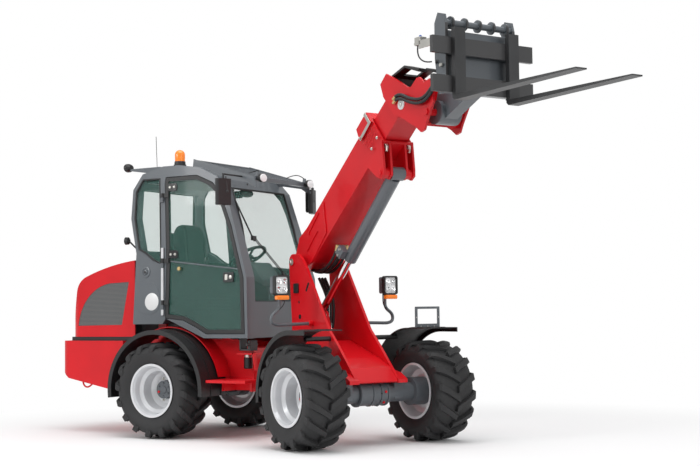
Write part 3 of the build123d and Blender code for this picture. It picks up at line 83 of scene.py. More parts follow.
def set_inputs(node, **values):
    """Sets a node's inputs, whose names are written here with _ for a space."""
    for name, value in values.items():
        node.inputs[name.replace("_", " ")].default_value = value
    return node


def add_node(tree, kind, operation=None, **values):
    """New shader node with values for its inputs."""
    made = tree.nodes.new("ShaderNode" + kind)
    if operation:
        made.operation = operation
    return set_inputs(made, **values)


def wire(tree, *links):
    """Links nodes: each row gives a node and its output, then a node and its input."""
    for start, out, end, into in links:
        tree.links.new(start.outputs[out], end.inputs[into])


TINT_STOPS = (0.3, 0.7)
ROUGH_SPREAD = 0.15


def new_material(name, colour, rough=0.5, metal=0.0, coat=0.0, grain=0.0, grain_size=200.0, alpha=1.0,
                 shade=0.06, sheen=0.0, specular=0.5, emission=0.0):
    """Principled material whose colour and roughness vary a little by noise, with a fine bump, and with a
    painted glow where emission is given.
    """
    material = bpy.data.materials.new(name)
    material.use_nodes = True
    tree = material.node_tree
    shader = tree.nodes["Principled BSDF"]
    set_inputs(shader, Metallic=metal, Coat_Weight=coat, Coat_Roughness=0.06, Sheen_Weight=sheen,
               Specular_IOR_Level=specular, Alpha=alpha)
    place = add_node(tree, "TexCoord")
    broad = add_node(tree, "TexNoise", Scale=3.0, Detail=6.0)
    tint = add_node(tree, "ValToRGB")
    for stop, where, change in zip(tint.color_ramp.elements, TINT_STOPS, (-shade, shade)):
        stop.position = where
        stop.color = (*(min(1.0, channel * (1 + change)) for channel in colour), 1)
    gloss = add_node(tree, "MapRange", To_Min=max(0.02, rough * (1 - ROUGH_SPREAD)),
                     To_Max=min(1.0, rough * (1 + ROUGH_SPREAD)))
    wire(tree, (place, "Object", broad, "Vector"), (broad, "Fac", tint, "Fac"),
         (tint, "Color", shader, "Base Color"), (broad, "Fac", gloss, "Value"),
         (gloss, "Result", shader, "Roughness"))
    if grain:
        fine = add_node(tree, "TexNoise", Scale=grain_size, Detail=3.0)
        bump = add_node(tree, "Bump", Strength=grain, Distance=0.002)
        wire(tree, (place, "Object", fine, "Vector"), (fine, "Fac", bump, "Height"),
             (bump, "Normal", shader, "Normal"))
    # Painted glow: the surface gives off light by its own emission, though no lamp shines in it.
    if emission:
        wire(tree, (tint, "Color", shader, "Emission Color"))
        set_inputs(shader, Emission_Strength=emission)
    return material


RED = new_material("red_paint", (0.7, 0.005, 0.012), rough=0.36, coat=0.22, grain=0.04, grain_size=350,
                   specular=0.3)
GREY = new_material("grey_paint", (0.115, 0.13, 0.145), rough=0.34, coat=0.35, grain=0.05, grain_size=350)
DARK_STEEL = new_material("dark_steel", (0.045, 0.046, 0.048), rough=0.42, metal=0.25, grain=0.12,
                          grain_size=240, shade=0.25)
CAST = new_material("cast_grey", (0.1, 0.112, 0.125), rough=0.42, grain=0.35, grain_size=160, coat=0.2)
PLASTIC = new_material("black_plastic", (0.014, 0.014, 0.015), rough=0.42, grain=0.3, grain_size=600)
GLOSS_BLACK = new_material("gloss_black", (0.01, 0.01, 0.011), rough=0.16, coat=0.4)
RUBBER = new_material("tyre_rubber", (0.018, 0.018, 0.019), rough=0.62, grain=0.3, grain_size=420, shade=0.2)
HOSE = new_material("hose_rubber", (0.012, 0.012, 0.013), rough=0.5, grain=0.25, grain_size=500)
RIM = new_material("rim_paint", (0.72, 0.73, 0.75), rough=0.3, coat=0.4, metal=0.25, shade=0.04)
ZINC = new_material("zinc_plate", (0.6, 0.59, 0.55), rough=0.3, metal=0.9, shade=0.12, grain=0.1)
BRASS = new_material("brass_plate", (0.55, 0.42, 0.2), rough=0.3, metal=0.9, shade=0.12)
CHROME = new_material("chrome", (0.85, 0.85, 0.86), rough=0.08, metal=1.0, shade=0.03)
CLOTH = new_material("seat_cloth", (0.012, 0.013, 0.015), rough=0.85, grain=0.8, grain_size=900, sheen=0.3)
TRIM = new_material("inner_trim", (0.075, 0.1, 0.105), rough=0.6, grain=0.3, grain_size=500)
MESH = new_material("grille_mesh", (0.11, 0.115, 0.115), rough=0.55, grain=0.2)
GLASS = new_material("cab_glass", (0.16, 0.4, 0.33), rough=0.03, alpha=0.13, shade=0.02, specular=0.6)
# Dark, nearly opaque sheet: painted shade of the cab's footwell, seen through the doors' lower glass.
PAINTED_SHADE_PANE = new_material("door_shade_pane", (0.008, 0.012, 0.014), rough=0.06, alpha=0.86, shade=0.1, specular=0.8)
# The clear and amber lenses carry a painted glow through their emission, though no lamp lights them.
CLEAR = new_material("clear_lens", (0.86, 0.87, 0.88), rough=0.1, coat=0.6, shade=0.05, emission=0.12)
AMBER = new_material("amber_lens", (0.95, 0.22, 0.01), rough=0.12, coat=0.6, shade=0.12, emission=0.25)
WHITE = new_material("white_paint", (0.82, 0.82, 0.82), rough=0.35, coat=0.3, shade=0.02)
MIRROR = new_material("mirror_glass", (0.8, 0.82, 0.82), rough=0.03, metal=1.0, shade=0.01)
BLUE = new_material("blue_paint", (0.02, 0.09, 0.4), rough=0.35, coat=0.3)


def mesh_pattern(material, pitch):
    """Paler wires of a fine mesh, and dark holes whose colour is painted shade of the space behind, by colour
    alone.
    """
    tree = material.node_tree
    # Color1 and Color2 are the holes' painted shade; Mortar is the wires' own colour.
    bricks = add_node(
        tree, "TexBrick", Scale=1 / pitch, Mortar_Size=0.16, Brick_Width=1.0, Row_Height=1.0,
        Color1=(0.045, 0.047, 0.048, 1), Color2=(0.055, 0.057, 0.058, 1), Mortar=(0.17, 0.175, 0.175, 1),
    )
    bricks.offset = 0.5
    place, split, join = (add_node(tree, kind) for kind in ("TexCoord", "SeparateXYZ", "CombineXYZ"))
    wire(tree, (place, "Object", split, "Vector"), (split, "X", join, "X"), (split, "Z", join, "Y"),
         (join, "Vector", bricks, "Vector"), (bricks, "Color", tree.nodes["Principled BSDF"], "Base Color"))


MESH_PITCH = 0.012
mesh_pattern(MESH, MESH_PITCH)


def two_tone(material, piece, place, reach, colour):
    """Paints what lies further forward than a frame's reach in another colour."""
    tree = material.node_tree
    shader = tree.nodes["Principled BSDF"]
    home = piece.matrix_world.inverted() @ place
    way = home.to_3x3().col[0].normalized()
    spot = add_node(tree, "TexCoord")
    along = add_node(tree, "VectorMath", operation="DOT_PRODUCT")
    along.inputs[1].default_value = way
    past = add_node(tree, "Math", operation="GREATER_THAN")
    past.inputs[1].default_value = (home @ Vector((reach, 0, 0))).dot(way)
    mix = add_node(tree, "Mix")
    mix.data_type = "RGBA"
    mix.inputs["B"].default_value = (*colour, 1)
    tree.links.new(shader.inputs["Base Color"].links[0].from_socket, mix.inputs["A"])
    wire(tree, (spot, "Object", along, 0), (along, "Value", past, 0), (past, "Value", mix, "Factor"),
         (mix, "Result", shader, "Base Color"))


CARRIAGE_PAINT = new_material("carriage_paint", (0.115, 0.13, 0.145), rough=0.38, coat=0.2, grain=0.08,
                              grain_size=300)
BAR_BACK = 2.584
two_tone(CARRIAGE_PAINT, nodes["fork_carriage"], FRONT, BAR_BACK, (0.05, 0.05, 0.052))

NODE_LOOKS = {
    RED: ("rear_chassis", "rear_arches", "counterweight", "front_chassis", "nose_sheet", "outer_boom",
          "inner_boom", "hood"),
    GREY: ("cab_frame", "cab_roof", "coupler", "lift_barrel", "steer_barrel", "roof_guard", "headlamps"),
    CARRIAGE_PAINT: ("fork_carriage",),
    CAST: ("engine_block", "rear_axle", "front_axle"),
    DARK_STEEL: ("fork_right", "fork_left"),
    PLASTIC: ("hood_seal", "rear_fenders", "front_fenders", "mirrors", "steering_column", "door_right",
              "door_left", "seat"),
    GLASS: ("cab_glass", "door_glass_right", "door_glass_left"),
    CHROME: ("lift_rod", "steer_rod"),
    MESH: ("hood_grilles",),
    GLOSS_BLACK: ("roof_lights",),
    RUBBER: ("tyre_front_right", "tyre_front_left", "tyre_rear_right", "tyre_rear_left"),
    RIM: ("rim_front_right", "rim_front_left", "rim_rear_right", "rim_rear_left"),
}
SHARP_ANGLE = radians(28)


def dress_nodes():
    """Gives every CAD node its material, on the object, and smooths its round faces."""
    for material, names in NODE_LOOKS.items():
        for name in names:
            part = nodes[name]
            if not part.material_slots:
                part.data.materials.append(None)
            for place in part.material_slots:
                place.link = "OBJECT"
                place.material = material
            part.data.shade_smooth()
            part.data.set_sharp_from_angle(angle=SHARP_ANGLE)


dress_nodes()


# Mesh helpers: a Shape gathers bodies of one piece in a frame

BEVEL_ANGLE = radians(35)
LAYS = {
    "side": lambda a, b, depth: (a, depth, b),
    "across": lambda a, b, depth: (depth, a, b),
    "level": lambda a, b, depth: (a, b, depth),
}


def placed(name, data):
    """New object in the scene's collection."""
    made = bpy.data.objects.new(name, data)
    bpy.context.scene.collection.objects.link(made)
    return made


class Shape:
    """One piece in the making: its faces are added in a frame's own coordinates."""

    def __init__(self, place):
        self.mesh = bmesh.new()
        self.place = place

    def rings(self, rows, closed=False):
        """Skin over rows of points, each row a closed ring. Its ends are capped, or joined if closed."""
        made = [[self.mesh.verts.new(self.place @ Vector(point)) for point in row] for row in rows]
        pairs = list(zip(made, made[1:])) + ([(made[-1], made[0])] if closed else [])
        for one, two in pairs:
            for index in range(len(one)):
                after = (index + 1) % len(one)
                self.mesh.faces.new((one[index], one[after], two[after], two[index]))
        if not closed:
            self.mesh.faces.new(made[0][::-1])
            self.mesh.faces.new(made[-1])
        return self

    def turned(self, start, way, profile, sides=40):
        """Body turned about a line: the profile gives how far along it, and its radius there."""
        way = Vector(way).normalized()
        across = way.orthogonal().normalized()
        other = way.cross(across)
        rows = []
        for along, radius in profile:
            middle = Vector(start) + way * along
            rows.append([
                middle + (across * cos(tau * step / sides) + other * sin(tau * step / sides)) * radius
                for step in range(sides)
            ])
        return self.rings(rows)

    def rod(self, start, end, radius, sides=20, edge=0.0):
        """Round bar between two points, with softened ends where an edge is given."""
        start, end = Vector(start), Vector(end)
        length = (end - start).length
        edge = min(edge, radius * 0.5, length * 0.3)
        profile = [(0, radius), (length, radius)]
        if edge:
            profile = [(0, radius - edge), (edge, radius), (length - edge, radius), (length, radius - edge)]
        return self.turned(start, end - start, profile, sides)

    def slab(self, points, low, high, plane="side"):
        """Flat plate: points in a plane, carried from low to high along what is left."""
        lay = LAYS[plane]
        return self.rings([[lay(a, b, low) for a, b in points], [lay(a, b, high) for a, b in points]])

    def block(self, low, high):
        """Block between two corners."""
        (x1, y1, z1), (x2, y2, z2) = low, high
        return self.slab([(x1, y1), (x2, y1), (x2, y2), (x1, y2)], z1, z2, "level")

    def done(self, name, body, material, slot=None, bevel=0.0, segments=2, replaces=(), smooth=True):
        """Makes the object, rounds its edges, and lets it ride on its body."""
        bmesh.ops.recalc_face_normals(self.mesh, faces=self.mesh.faces)
        data = bpy.data.meshes.new(name)
        self.mesh.to_mesh(data)
        self.mesh.free()
        piece = placed(name, data)
        data.materials.append(material)
        if smooth:
            data.shade_smooth()
            data.set_sharp_from_angle(angle=SHARP_ANGLE)
        if bevel:
            rounding = piece.modifiers.new("edges", "BEVEL")
            rounding.width = bevel
            rounding.segments = segments
            rounding.limit_method = "ANGLE"
            rounding.angle_limit = BEVEL_ANGLE
            rounding.harden_normals = True
        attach(piece, body)
        if replaces:
            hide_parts(*replaces)
        return piece


def tube(name, place, points, radius, body, material, cyclic=False, sides=6, kind="NURBS"):
    """Bent bar or hose along a smooth line through a frame's points."""
    data = bpy.data.curves.new(name, "CURVE")
    data.dimensions = "3D"
    data.bevel_depth = radius
    data.bevel_resolution = sides
    data.resolution_u = 12
    data.use_fill_caps = True
    line = data.splines.new(kind)
    line.points.add(len(points) - 1)
    for spot, point in zip(line.points, points):
        spot.co = (*(place @ Vector(point)), 1)
    if kind == "NURBS":
        line.order_u = 3
        line.use_endpoint_u = not cyclic
    line.use_cyclic_u = cyclic
    piece = placed(name, data)
    data.materials.append(material)
    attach(piece, body)
    return piece


def rounded(width, height, corner, centre=(0, 0), steps=5):
    """Outline of a rectangle with round corners."""
    points = []
    for hand_x, hand_y, start in ((1, 1, 0), (-1, 1, 90), (-1, -1, 180), (1, -1, 270)):
        for step in range(steps + 1):
            angle = radians(start + 90 * step / steps)
            points.append((
                centre[0] + hand_x * (width / 2 - corner) + corner * cos(angle),
                centre[1] + hand_y * (height / 2 - corner) + corner * sin(angle),
            ))
    return points


def oval(half_width, half_height, centre=(0, 0), sides=32):
    """Outline of an ellipse."""
    return [
        (centre[0] + half_width * cos(tau * step / sides), centre[1] + half_height * sin(tau * step / sides))
        for step in range(sides)
    ]


# Tyres: a round carcass with curved bars that wrap over its shoulders

LUGS_PER_SIDE = 16
CARCASS = (
    (0.15, 0.238), (0.163, 0.246), (0.172, 0.262), (0.184, 0.292), (0.191, 0.322), (0.189, 0.346),
    (0.178, 0.366), (0.16, 0.38), (0.13, 0.389), (0.08, 0.394), (0.0, 0.396),
)
BAR_PATH = (
    (-0.01, 0.052, 0.4253, 0.046), (0.03, 0.028, 0.425, 0.046), (0.07, 0.004, 0.4242, 0.047),
    (0.11, -0.02, 0.4225, 0.049), (0.15, -0.042, 0.418, 0.052), (0.178, -0.056, 0.408, 0.055),
    (0.1925, -0.065, 0.39, 0.057), (0.1945, -0.074, 0.365, 0.058), (0.1935, -0.081, 0.343, 0.054),
)
BAR_SLOPE = 0.01
BAR_SHIFT = 0.072
BEAD = ((-0.15, 0.2165), (0.15, 0.2165))
TYRE_SIDES = 96


def wheel_place(corner):
    """Frame at a wheel's centre: x is down, y is back on the left side and forward on the right, z is out."""
    hand = 1 if corner.endswith("left") else -1
    home, forward_of_origin = (FRONT, PIVOT_TO_FRONT_AXLE) if corner.startswith("front") else (REAR, 0)
    across = home.col[1].to_3d() * hand
    down = -UP
    place = Matrix((down, -home.col[0].to_3d(), across)).transposed().to_4x4()
    centre = home @ Vector((forward_of_origin, hand * TRACK / 2, WHEEL_RADIUS))
    return Matrix.Translation(centre) @ place


def tyre(corner):
    """Tyre with two rows of bars, whose inner ends reach the ground first."""
    shape = Shape(wheel_place(corner))
    rows = [*CARCASS, *((-out, radius) for out, radius in CARCASS[-2::-1]), *BEAD]
    shape.rings([
        [(r * cos(tau * s / TYRE_SIDES), r * sin(tau * s / TYRE_SIDES), out) for s in range(TYRE_SIDES)]
        for out, r in rows
    ], closed=True)
    pitch = tau / LUGS_PER_SIDE
    for hand, phase in ((1, 0.0), (-1, pitch / 2)):
        for step in range(LUGS_PER_SIDE):
            middle = phase + pitch * step - BAR_SHIFT / WHEEL_RADIUS
            sections = []
            for out, shift, top, width in BAR_PATH:
                out = out * hand
                base = min(top - 0.012, 0.388) if abs(out) < 0.185 else top - 0.004
                inner_out = out if abs(out) < 0.16 else out - hand * (0.012 if abs(out) < 0.185 else 0.026)
                section = []
                for side, radius, place_out, spread in (
                    (-1, base, inner_out, BAR_SLOPE), (-1, top, out, 0), (1, top, out, 0),
                    (1, base, inner_out, BAR_SLOPE),
                ):
                    angle = middle + (shift + side * (width / 2 + spread)) / WHEEL_RADIUS
                    section.append((radius * cos(angle), radius * sin(angle), place_out))
                sections.append(section)
            shape.rings(sections)
    return shape.done(
        f"tyre_{corner}_rubber", f"wheel_{corner}", RUBBER, slot="tyre", bevel=0.004, segments=2,
        replaces=(f"tyre_{corner}",),
    )


CORNERS = ("front_right", "front_left", "rear_right", "rear_left")
for corner in CORNERS:
    tyre(corner)

DISC_FACE, HUB_FACE = -0.056, -0.0045
NUT = [(-0.001, 0.013), (0.003, 0.013), (0.004, 0.0105), (0.017, 0.0095)]
HUB_BOLT = [(-0.001, 0.009), (0.007, 0.009), (0.009, 0.007)]


def circle(radius, count, start=0.0):
    """Angles and places of points spread evenly on a circle."""
    for step in range(count):
        angle = tau * (step + start) / count
        yield angle, radius * cos(angle), radius * sin(angle)


def wheel_details(corner):
    """Nuts round the disc, a valve, and bolts and a red plug on the hub's end."""
    place = wheel_place(corner)
    body = "front_frame" if corner.startswith("front") else "rear_frame"
    nuts, bolts = Shape(place), Shape(place)
    for _, x, y in circle(0.103, 8, 0.5):
        nuts.turned((x, y, DISC_FACE), Z, NUT, 6)
    nuts.turned((0.14, 0.12, -0.02), (-0.3, -0.3, 1), [(0, 0.004), (0.035, 0.004), (0.036, 0.003)], 10)
    nuts.done(f"wheel_nuts_{corner}", f"wheel_{corner}", ZINC)
    for _, x, y in circle(0.058, 6):
        bolts.turned((x, y, HUB_FACE), Z, HUB_BOLT, 6)
    bolts.turned((0, 0, HUB_FACE), Z, [(-0.002, 0.034), (0.004, 0.034), (0.007, 0.03)], 24)
    bolts.done(f"hub_bolts_{corner}", body, CAST)
    plug = Shape(place)
    plug.turned((0.02, 0.052, HUB_FACE), Z, [(-0.001, 0.011), (0.008, 0.011), (0.01, 0.008)], 16)
    plug.done(f"hub_plug_{corner}", body, RED)


for corner in CORNERS:
    wheel_details(corner)


# Lamps


def tray(shape, outer, inner, low, high, floor, plane="across"):
    """Frame round a recess: its outer wall, its front edge and a floor set back inside."""
    lay = LAYS[plane]
    levels = ((outer, low), (outer, high), (inner, high), (inner, floor))
    return shape.rings([[lay(a, b, depth) for a, b in points] for points, depth in levels])


LAMP_OUT, LAMP_HEIGHT, LAMP_FRONT = 0.559, 1.33, 0.624
INDICATOR_HEIGHT = 1.226
BOWLS = ((-0.028, 0.032, 0.027), (0.03, 0.034, 0.022), (-0.028, -0.034, 0.022), (0.028, -0.032, 0.026))
LAMP_TUBE = (
    (0.25, 1.005), (0.44, 1.0), (0.62, 0.995), (0.63, 1.075), (0.545, 1.13), (0.543, 1.2), (0.543, 1.265),
)
LAMP_TUBE_X = 0.545


def headlamps():
    """Two lamps with clear lenses and amber indicators on bent tubes."""
    shells, bezels, lenses, bowls, indicators, bosses = (Shape(FRONT) for _ in range(6))
    for hand, side_name in SIDES:
        y = hand * LAMP_OUT
        spot = (y, LAMP_HEIGHT)
        shells.slab(rounded(0.128, 0.148, 0.016, spot), 0.523, 0.584, "across")
        tray(bezels, rounded(0.144, 0.164, 0.02, spot), rounded(0.12, 0.14, 0.016, spot),
             0.58, LAMP_FRONT, LAMP_FRONT - 0.024)
        lenses.slab(rounded(0.118, 0.138, 0.014, spot), 0.601, 0.604, "across")
        for along, up, size in BOWLS:
            bowl = [(0, size), (0.01, size), (0.01, size * 0.86), (0.004, size * 0.4), (0.008, 0.001)]
            bowls.turned((0.603, y + along, LAMP_HEIGHT + up), X, bowl, 24)
        indicators.slab(rounded(0.118, 0.036, 0.01, (y, INDICATOR_HEIGHT)), 0.592, 0.634, "across")
        indicators.slab(rounded(0.1, 0.022, 0.008, (y, INDICATOR_HEIGHT)), 0.634, 0.64, "across")
        bezels.slab(rounded(0.1, 0.02, 0.006, (y, 1.25)), 0.56, 0.62, "across")
        bosses.rod((LAMP_TUBE_X, hand * 0.22, 1.005), (LAMP_TUBE_X, hand * 0.262, 1.005), 0.024, edge=0.004)
        tube(f"headlamp_tube_{side_name}", FRONT, [(LAMP_TUBE_X, hand * out, z) for out, z in LAMP_TUBE],
             0.0145, "front_frame", GREY)
        tube(f"headlamp_lead_{side_name}", FRONT,
             [(0.56, hand * 0.51, 1.262), (0.57, hand * 0.5, 1.2), (0.552, hand * 0.525, 1.14),
              (0.552, hand * 0.6, 1.085)],
             0.0035, "front_frame", HOSE)
    shells.done("headlamp_shells", "front_frame", GREY, slot="grey_paint", bevel=0.004,
                replaces=("headlamps",))
    bezels.done("headlamp_bezels", "front_frame", PLASTIC, slot="black_plastic", bevel=0.002)
    lenses.done("headlamp_lenses", "front_frame", CLEAR)
    bowls.done("headlamp_bowls", "front_frame", CHROME)
    indicators.done("headlamp_indicators", "front_frame", AMBER, slot="lamp", bevel=0.003)
    bosses.done("headlamp_bosses", "front_frame", RED, slot="red_paint")


headlamps()

BEACON = (0.03, -0.415, 2.4503)
GUARD_LAMPS, REAR_LAMPS = (0.8856, 1, 2.29, 0.38), (-0.56, -1, 2.475, 0.4)
LAMP_SHELL = ((0, 0.55), (0.014, 0.86), (0.03, 1.0), (0.05, 1.0))
LAMP_LENS = ((0.0485, 1.0), (0.054, 0.97), (0.058, 0.75), (0.06, 0.3))


def oval_body(shape, x, way, half_width, half_height, centre, profile):
    """Body of ovals across a frame: the profile gives how far along x, and the size there."""
    shape.rings([
        [(x + way * along, a, b) for a, b in oval(half_width * size, half_height * size, centre)]
        for along, size in profile
    ])


def roof_lamps():
    """Amber beacon, two work lamps on the guard and two on arms behind the roof."""
    base, dome, shells, lenses, arms = (Shape(REAR) for _ in range(5))
    base.turned(BEACON, Z, [(0, 0.058), (0.012, 0.058), (0.016, 0.052), (0.04, 0.05), (0.044, 0.047)])
    dome_profile = [(0.043, 0.046), (0.07, 0.0465)]
    for angle in (radians(degree) for degree in range(0, 91, 9)):
        dome_profile.append((0.104 + 0.046 * sin(angle), 0.0465 * cos(angle) + 0.0005))
    dome.turned(BEACON, Z, dome_profile, 48)
    for hand in (-1, 1):
        for x, way, z, y in (GUARD_LAMPS, REAR_LAMPS):
            spot = (hand * y, z)
            oval_body(shells, x, way, 0.056, 0.04, spot, LAMP_SHELL)
            oval_body(lenses, x, way, 0.052, 0.036, spot, LAMP_LENS)
        arms.slab([(-0.575, 2.445), (-0.575, 2.462), (-0.205, 2.462), (-0.19, 2.424), (-0.285, 2.402)],
                  hand * REAR_LAMPS[3] - 0.016, hand * REAR_LAMPS[3] + 0.016)
        arms.slab([(0.852, 2.306), (0.888, 2.306), (0.88, 2.345), (0.862, 2.35)],
                  hand * GUARD_LAMPS[3] - 0.012, hand * GUARD_LAMPS[3] + 0.012)
    dome.done("beacon_dome", "rear_frame", AMBER, slot="lamp")
    base.done("beacon_base", "rear_frame", PLASTIC, slot="black_plastic", replaces=("roof_lights",))
    shells.done("work_lamp_shells", "rear_frame", PLASTIC, slot="black_plastic")
    lenses.done("work_lamp_lenses", "rear_frame", CLEAR)
    arms.done("work_lamp_arms", "rear_frame", GREY, slot="grey_paint", bevel=0.002)
    for hand, side_name in SIDES:
        tube(f"work_lamp_lead_{side_name}", REAR,
             [(0.875, hand * 0.38, 2.335), (0.86, hand * 0.33, 2.372), (0.8, hand * 0.28, 2.372),
              (0.72, hand * 0.3, 2.352)],
             0.004, "rear_frame", HOSE)


roof_lamps()


# Cab: seals, doors, panels and fittings

LEAN = radians(2.86)
CAB_HALF_WIDTH_AT_GROUND = 0.62


def wall_frame(hand):
    """Frame of the cab's leaning side wall: x is forward, y goes up the wall and z points out."""
    up_the_wall = Vector((0, -hand * sin(LEAN), cos(LEAN)))
    out = Vector((0, hand * cos(LEAN), sin(LEAN)))
    place = Matrix((Vector(X), up_the_wall, out)).transposed().to_4x4()
    return REAR @ Matrix.Translation((0, hand * CAB_HALF_WIDTH_AT_GROUND, 0)) @ place


QUARTER_WINDOW = (
    (-0.355, 1.7), (-0.415, 1.985), (-0.405, 2.235), (-0.33, 2.34), (-0.135, 2.34), (-0.095, 1.56),
    (-0.19, 1.6), (-0.28, 1.665),
)
DOOR_PANE = (
    (0.01, 1.12), (0.01, 1.56), (-0.034, 2.3), (0.28, 2.31), (0.446, 2.238), (0.528, 2.15),
    (0.652, 1.862), (0.792, 1.408), (0.818, 0.96), (0.452, 0.96), (0.35, 1.01), (0.195, 1.078),
)
RAIL_REAR, RAIL_FRONT = (0.012, 1.58), (0.772, 1.49)
HINGE_LOW, HINGE_HIGH, HINGE_OUT = (-0.05, 1.062), (-0.093, 2.29), 0.014


CORNER_CUT = 0.25


def softened(points):
    """Closed outline with its corners cut twice to a smooth run."""
    for _ in range(2):
        following = points[1:] + points[:1]
        points = tuple(
            tuple(a + (b - a) * share for a, b in zip(one, two))
            for one, two in zip(points, following) for share in (CORNER_CUT, 1 - CORNER_CUT)
        )
    return points


def cab_seals():
    """Rubber round the windows that don't open."""
    for hand, side_name in SIDES:
        wall = wall_frame(hand)
        tube(f"quarter_window_seal_{side_name}", wall, [(x, z, -0.002) for x, z in QUARTER_WINDOW], 0.01,
             "rear_frame", HOSE, cyclic=True, kind="POLY", sides=3)
    tube("windscreen_seal", REAR,
         [(0.86, -0.435, 1.2), (0.86, 0.435, 1.2), (0.7212, 0.414, 1.876), (0.612, 0.41, 2.215),
          (0.612, -0.41, 2.215), (0.7212, -0.414, 1.876)],
         0.011, "rear_frame", HOSE, cyclic=True, kind="POLY", sides=3)
    tube("rear_window_seal", REAR,
         [(-0.394, -0.42, 1.68), (-0.394, 0.42, 1.68), (-0.462, 0.41, 1.983), (-0.448, 0.4, 2.258),
          (-0.448, -0.4, 2.258), (-0.462, -0.41, 1.983)],
         0.01, "rear_frame", HOSE, cyclic=True, kind="POLY", sides=3)


cab_seals()

LATCH = (0.668, 1.42)
HINGE_PLATES = ((0.013, 2.255), (0.043, 1.64))
CAP_BOLT = [(-0.001, 0.013), (0.004, 0.012), (0.008, 0.006)]


def door_details(hand, side_name):
    """Nearly opaque dark sheet behind the door's lower glass, painted shade of the footwell, and the rail,
    latch, knob and hinge plates of one door.
    """
    wall = wall_frame(hand)
    body = f"door_{side_name}"
    below = [RAIL_REAR, RAIL_FRONT, *DOOR_PANE[7:], DOOR_PANE[0]]
    # Painted shade: a dark sheet behind the lower glass stands in for the shaded footwell.
    dark = Shape(wall).slab(below, -0.0215, -0.017, "level")
    dark.done(f"door_lower_pane_{side_name}", body, PAINTED_SHADE_PANE, slot="glass")
    (x1, z1), (x2, z2) = RAIL_REAR, RAIL_FRONT
    rail = Shape(wall).slab([(x1, z1 - 0.007), (x2, z2 - 0.007), (x2, z2 + 0.005), (x1, z1 + 0.005)],
                            -0.0245, -0.004, "level")
    rail.done(f"door_rail_{side_name}", body, GREY, slot="grey_paint", bevel=0.002)
    latch = tray(Shape(wall), rounded(0.112, 0.086, 0.012, LATCH), rounded(0.092, 0.066, 0.008, LATCH),
                 -0.0075, 0.004, -0.003, "level")
    latch.done(f"door_latch_{side_name}", body, DARK_STEEL, slot="black_steel", bevel=0.0015)
    button = Shape(wall).turned((0.69, 1.42, -0.003), Z, [(0, 0.016), (0.005, 0.016), (0.006, 0.014)], 24)
    button.slab(rounded(0.03, 0.05, 0.006, (0.645, 1.42)), -0.003, 0.003, "level")
    button.done(f"door_latch_button_{side_name}", body, ZINC, bevel=0.001)
    knob = Shape(wall).turned((0.125, 1.508, -0.009), Z,
                              [(0, 0.012), (0.01, 0.012), (0.014, 0.019), (0.028, 0.018), (0.032, 0.012)], 24)
    knob.done(f"door_knob_{side_name}", body, BRASS)
    plates, bolts = Shape(wall), Shape(wall)
    for x, z in HINGE_PLATES:
        plates.slab(rounded(0.108, 0.072, 0.018, (x, z)), -0.0065, 0.005, "level")
        for along in (-0.024, 0.026):
            bolts.turned((x + along, z, 0.005), Z, CAP_BOLT, 20)
    plates.done(f"door_hinge_plates_{side_name}", body, GLOSS_BLACK, slot="black_plastic", bevel=0.003)
    bolts.done(f"door_hinge_bolts_{side_name}", body, ZINC)


for hand, side_name in SIDES:
    door_details(hand, side_name)

HINGE_TUBES = ((0.028, 0.078), (0.165, 0.455), (0.545, 0.64))
HINGE_TUBE_RADIUS = 0.0125


def hinge_tubes():
    """Bright tubes that the doors' hinges turn in."""
    tubes = Shape(REAR)
    for hand in (-1, 1):
        wall = REAR.inverted() @ wall_frame(hand)
        low, high = (wall @ Vector((*end, HINGE_OUT)) for end in (HINGE_LOW, HINGE_HIGH))
        way = (high - low).normalized()
        for start, end in HINGE_TUBES:
            tubes.rod(low + way * start, low + way * end, HINGE_TUBE_RADIUS)
    tubes.done("door_hinge_tubes", "rear_frame", RIM)


FILLER, DISC = (-0.269, 1.487), (-0.188, 1.215)


def right_wall_details():
    """Fuel filler, blank disc and raised panel on the cab's right wall."""
    wall = wall_frame(-1)
    cap = Shape(wall).turned((*FILLER, -0.001), Z,
                             [(0, 0.052), (0.006, 0.052), (0.008, 0.047), (0.008, 0.034), (0.004, 0.031),
                              (0.004, 0.024), (0.014, 0.022), (0.015, 0.019)], 36)
    cap.done("filler_cap", "rear_frame", GREY, slot="grey_paint")
    lock = Shape(wall).turned((*FILLER, 0.013), Z, [(0, 0.013), (0.004, 0.013), (0.005, 0.01)], 20)
    lock.done("filler_lock", "rear_frame", DARK_STEEL)
    edge = Shape(wall).turned((*DISC, 0.0005), Z, [(0, 0.084), (0.0016, 0.084)], 64)
    edge.done("blank_disc_edge", "rear_frame", PLASTIC)
    disc = Shape(wall).turned((*DISC, 0.002), Z, [(0, 0.08), (0.0012, 0.08), (0.0016, 0.079)], 64)
    disc.done("blank_disc", "rear_frame", WHITE)
    outline = softened(((-0.372, 1.11), (-0.365, 1.385), (-0.3, 1.4), (-0.11, 1.385), (-0.085, 1.1)))
    panel = Shape(wall).slab(outline, 0.0, 0.0035, "level")
    panel.done("side_panel", "rear_frame", GREY, slot="grey_paint", bevel=0.0015)


def aerial_and_wiper():
    """Aerial behind the roof, and the windscreen's wiper on two arms."""
    aerial = Shape(REAR).rod((-0.33, -0.3, 2.385), (-0.332, -0.3, 2.43), 0.012, edge=0.003)
    aerial.rod((-0.332, -0.3, 2.425), (-0.345, -0.3, 2.765), 0.0028, 10)
    aerial.done("aerial", "rear_frame", DARK_STEEL)
    arms, blade = Shape(REAR), Shape(REAR)
    for shift in (0.0, 0.028):
        arms.rod((0.872, shift, 1.455), (0.786, -0.33 + shift, 1.765), 0.0042, 10)
    arms.rod((0.858, 0.014, 1.44), (0.884, 0.014, 1.446), 0.02, edge=0.004)
    blade.rod((0.668, -0.44, 2.105), (0.792, -0.322, 1.735), 0.0075, 10, edge=0.002)
    blade.block((0.772, -0.35, 1.745), (0.796, -0.296, 1.785))
    arms.done("wiper_arms", "rear_frame", PLASTIC, slot="black_plastic")
    blade.done("wiper_blade", "rear_frame", PLASTIC, slot="black_plastic")


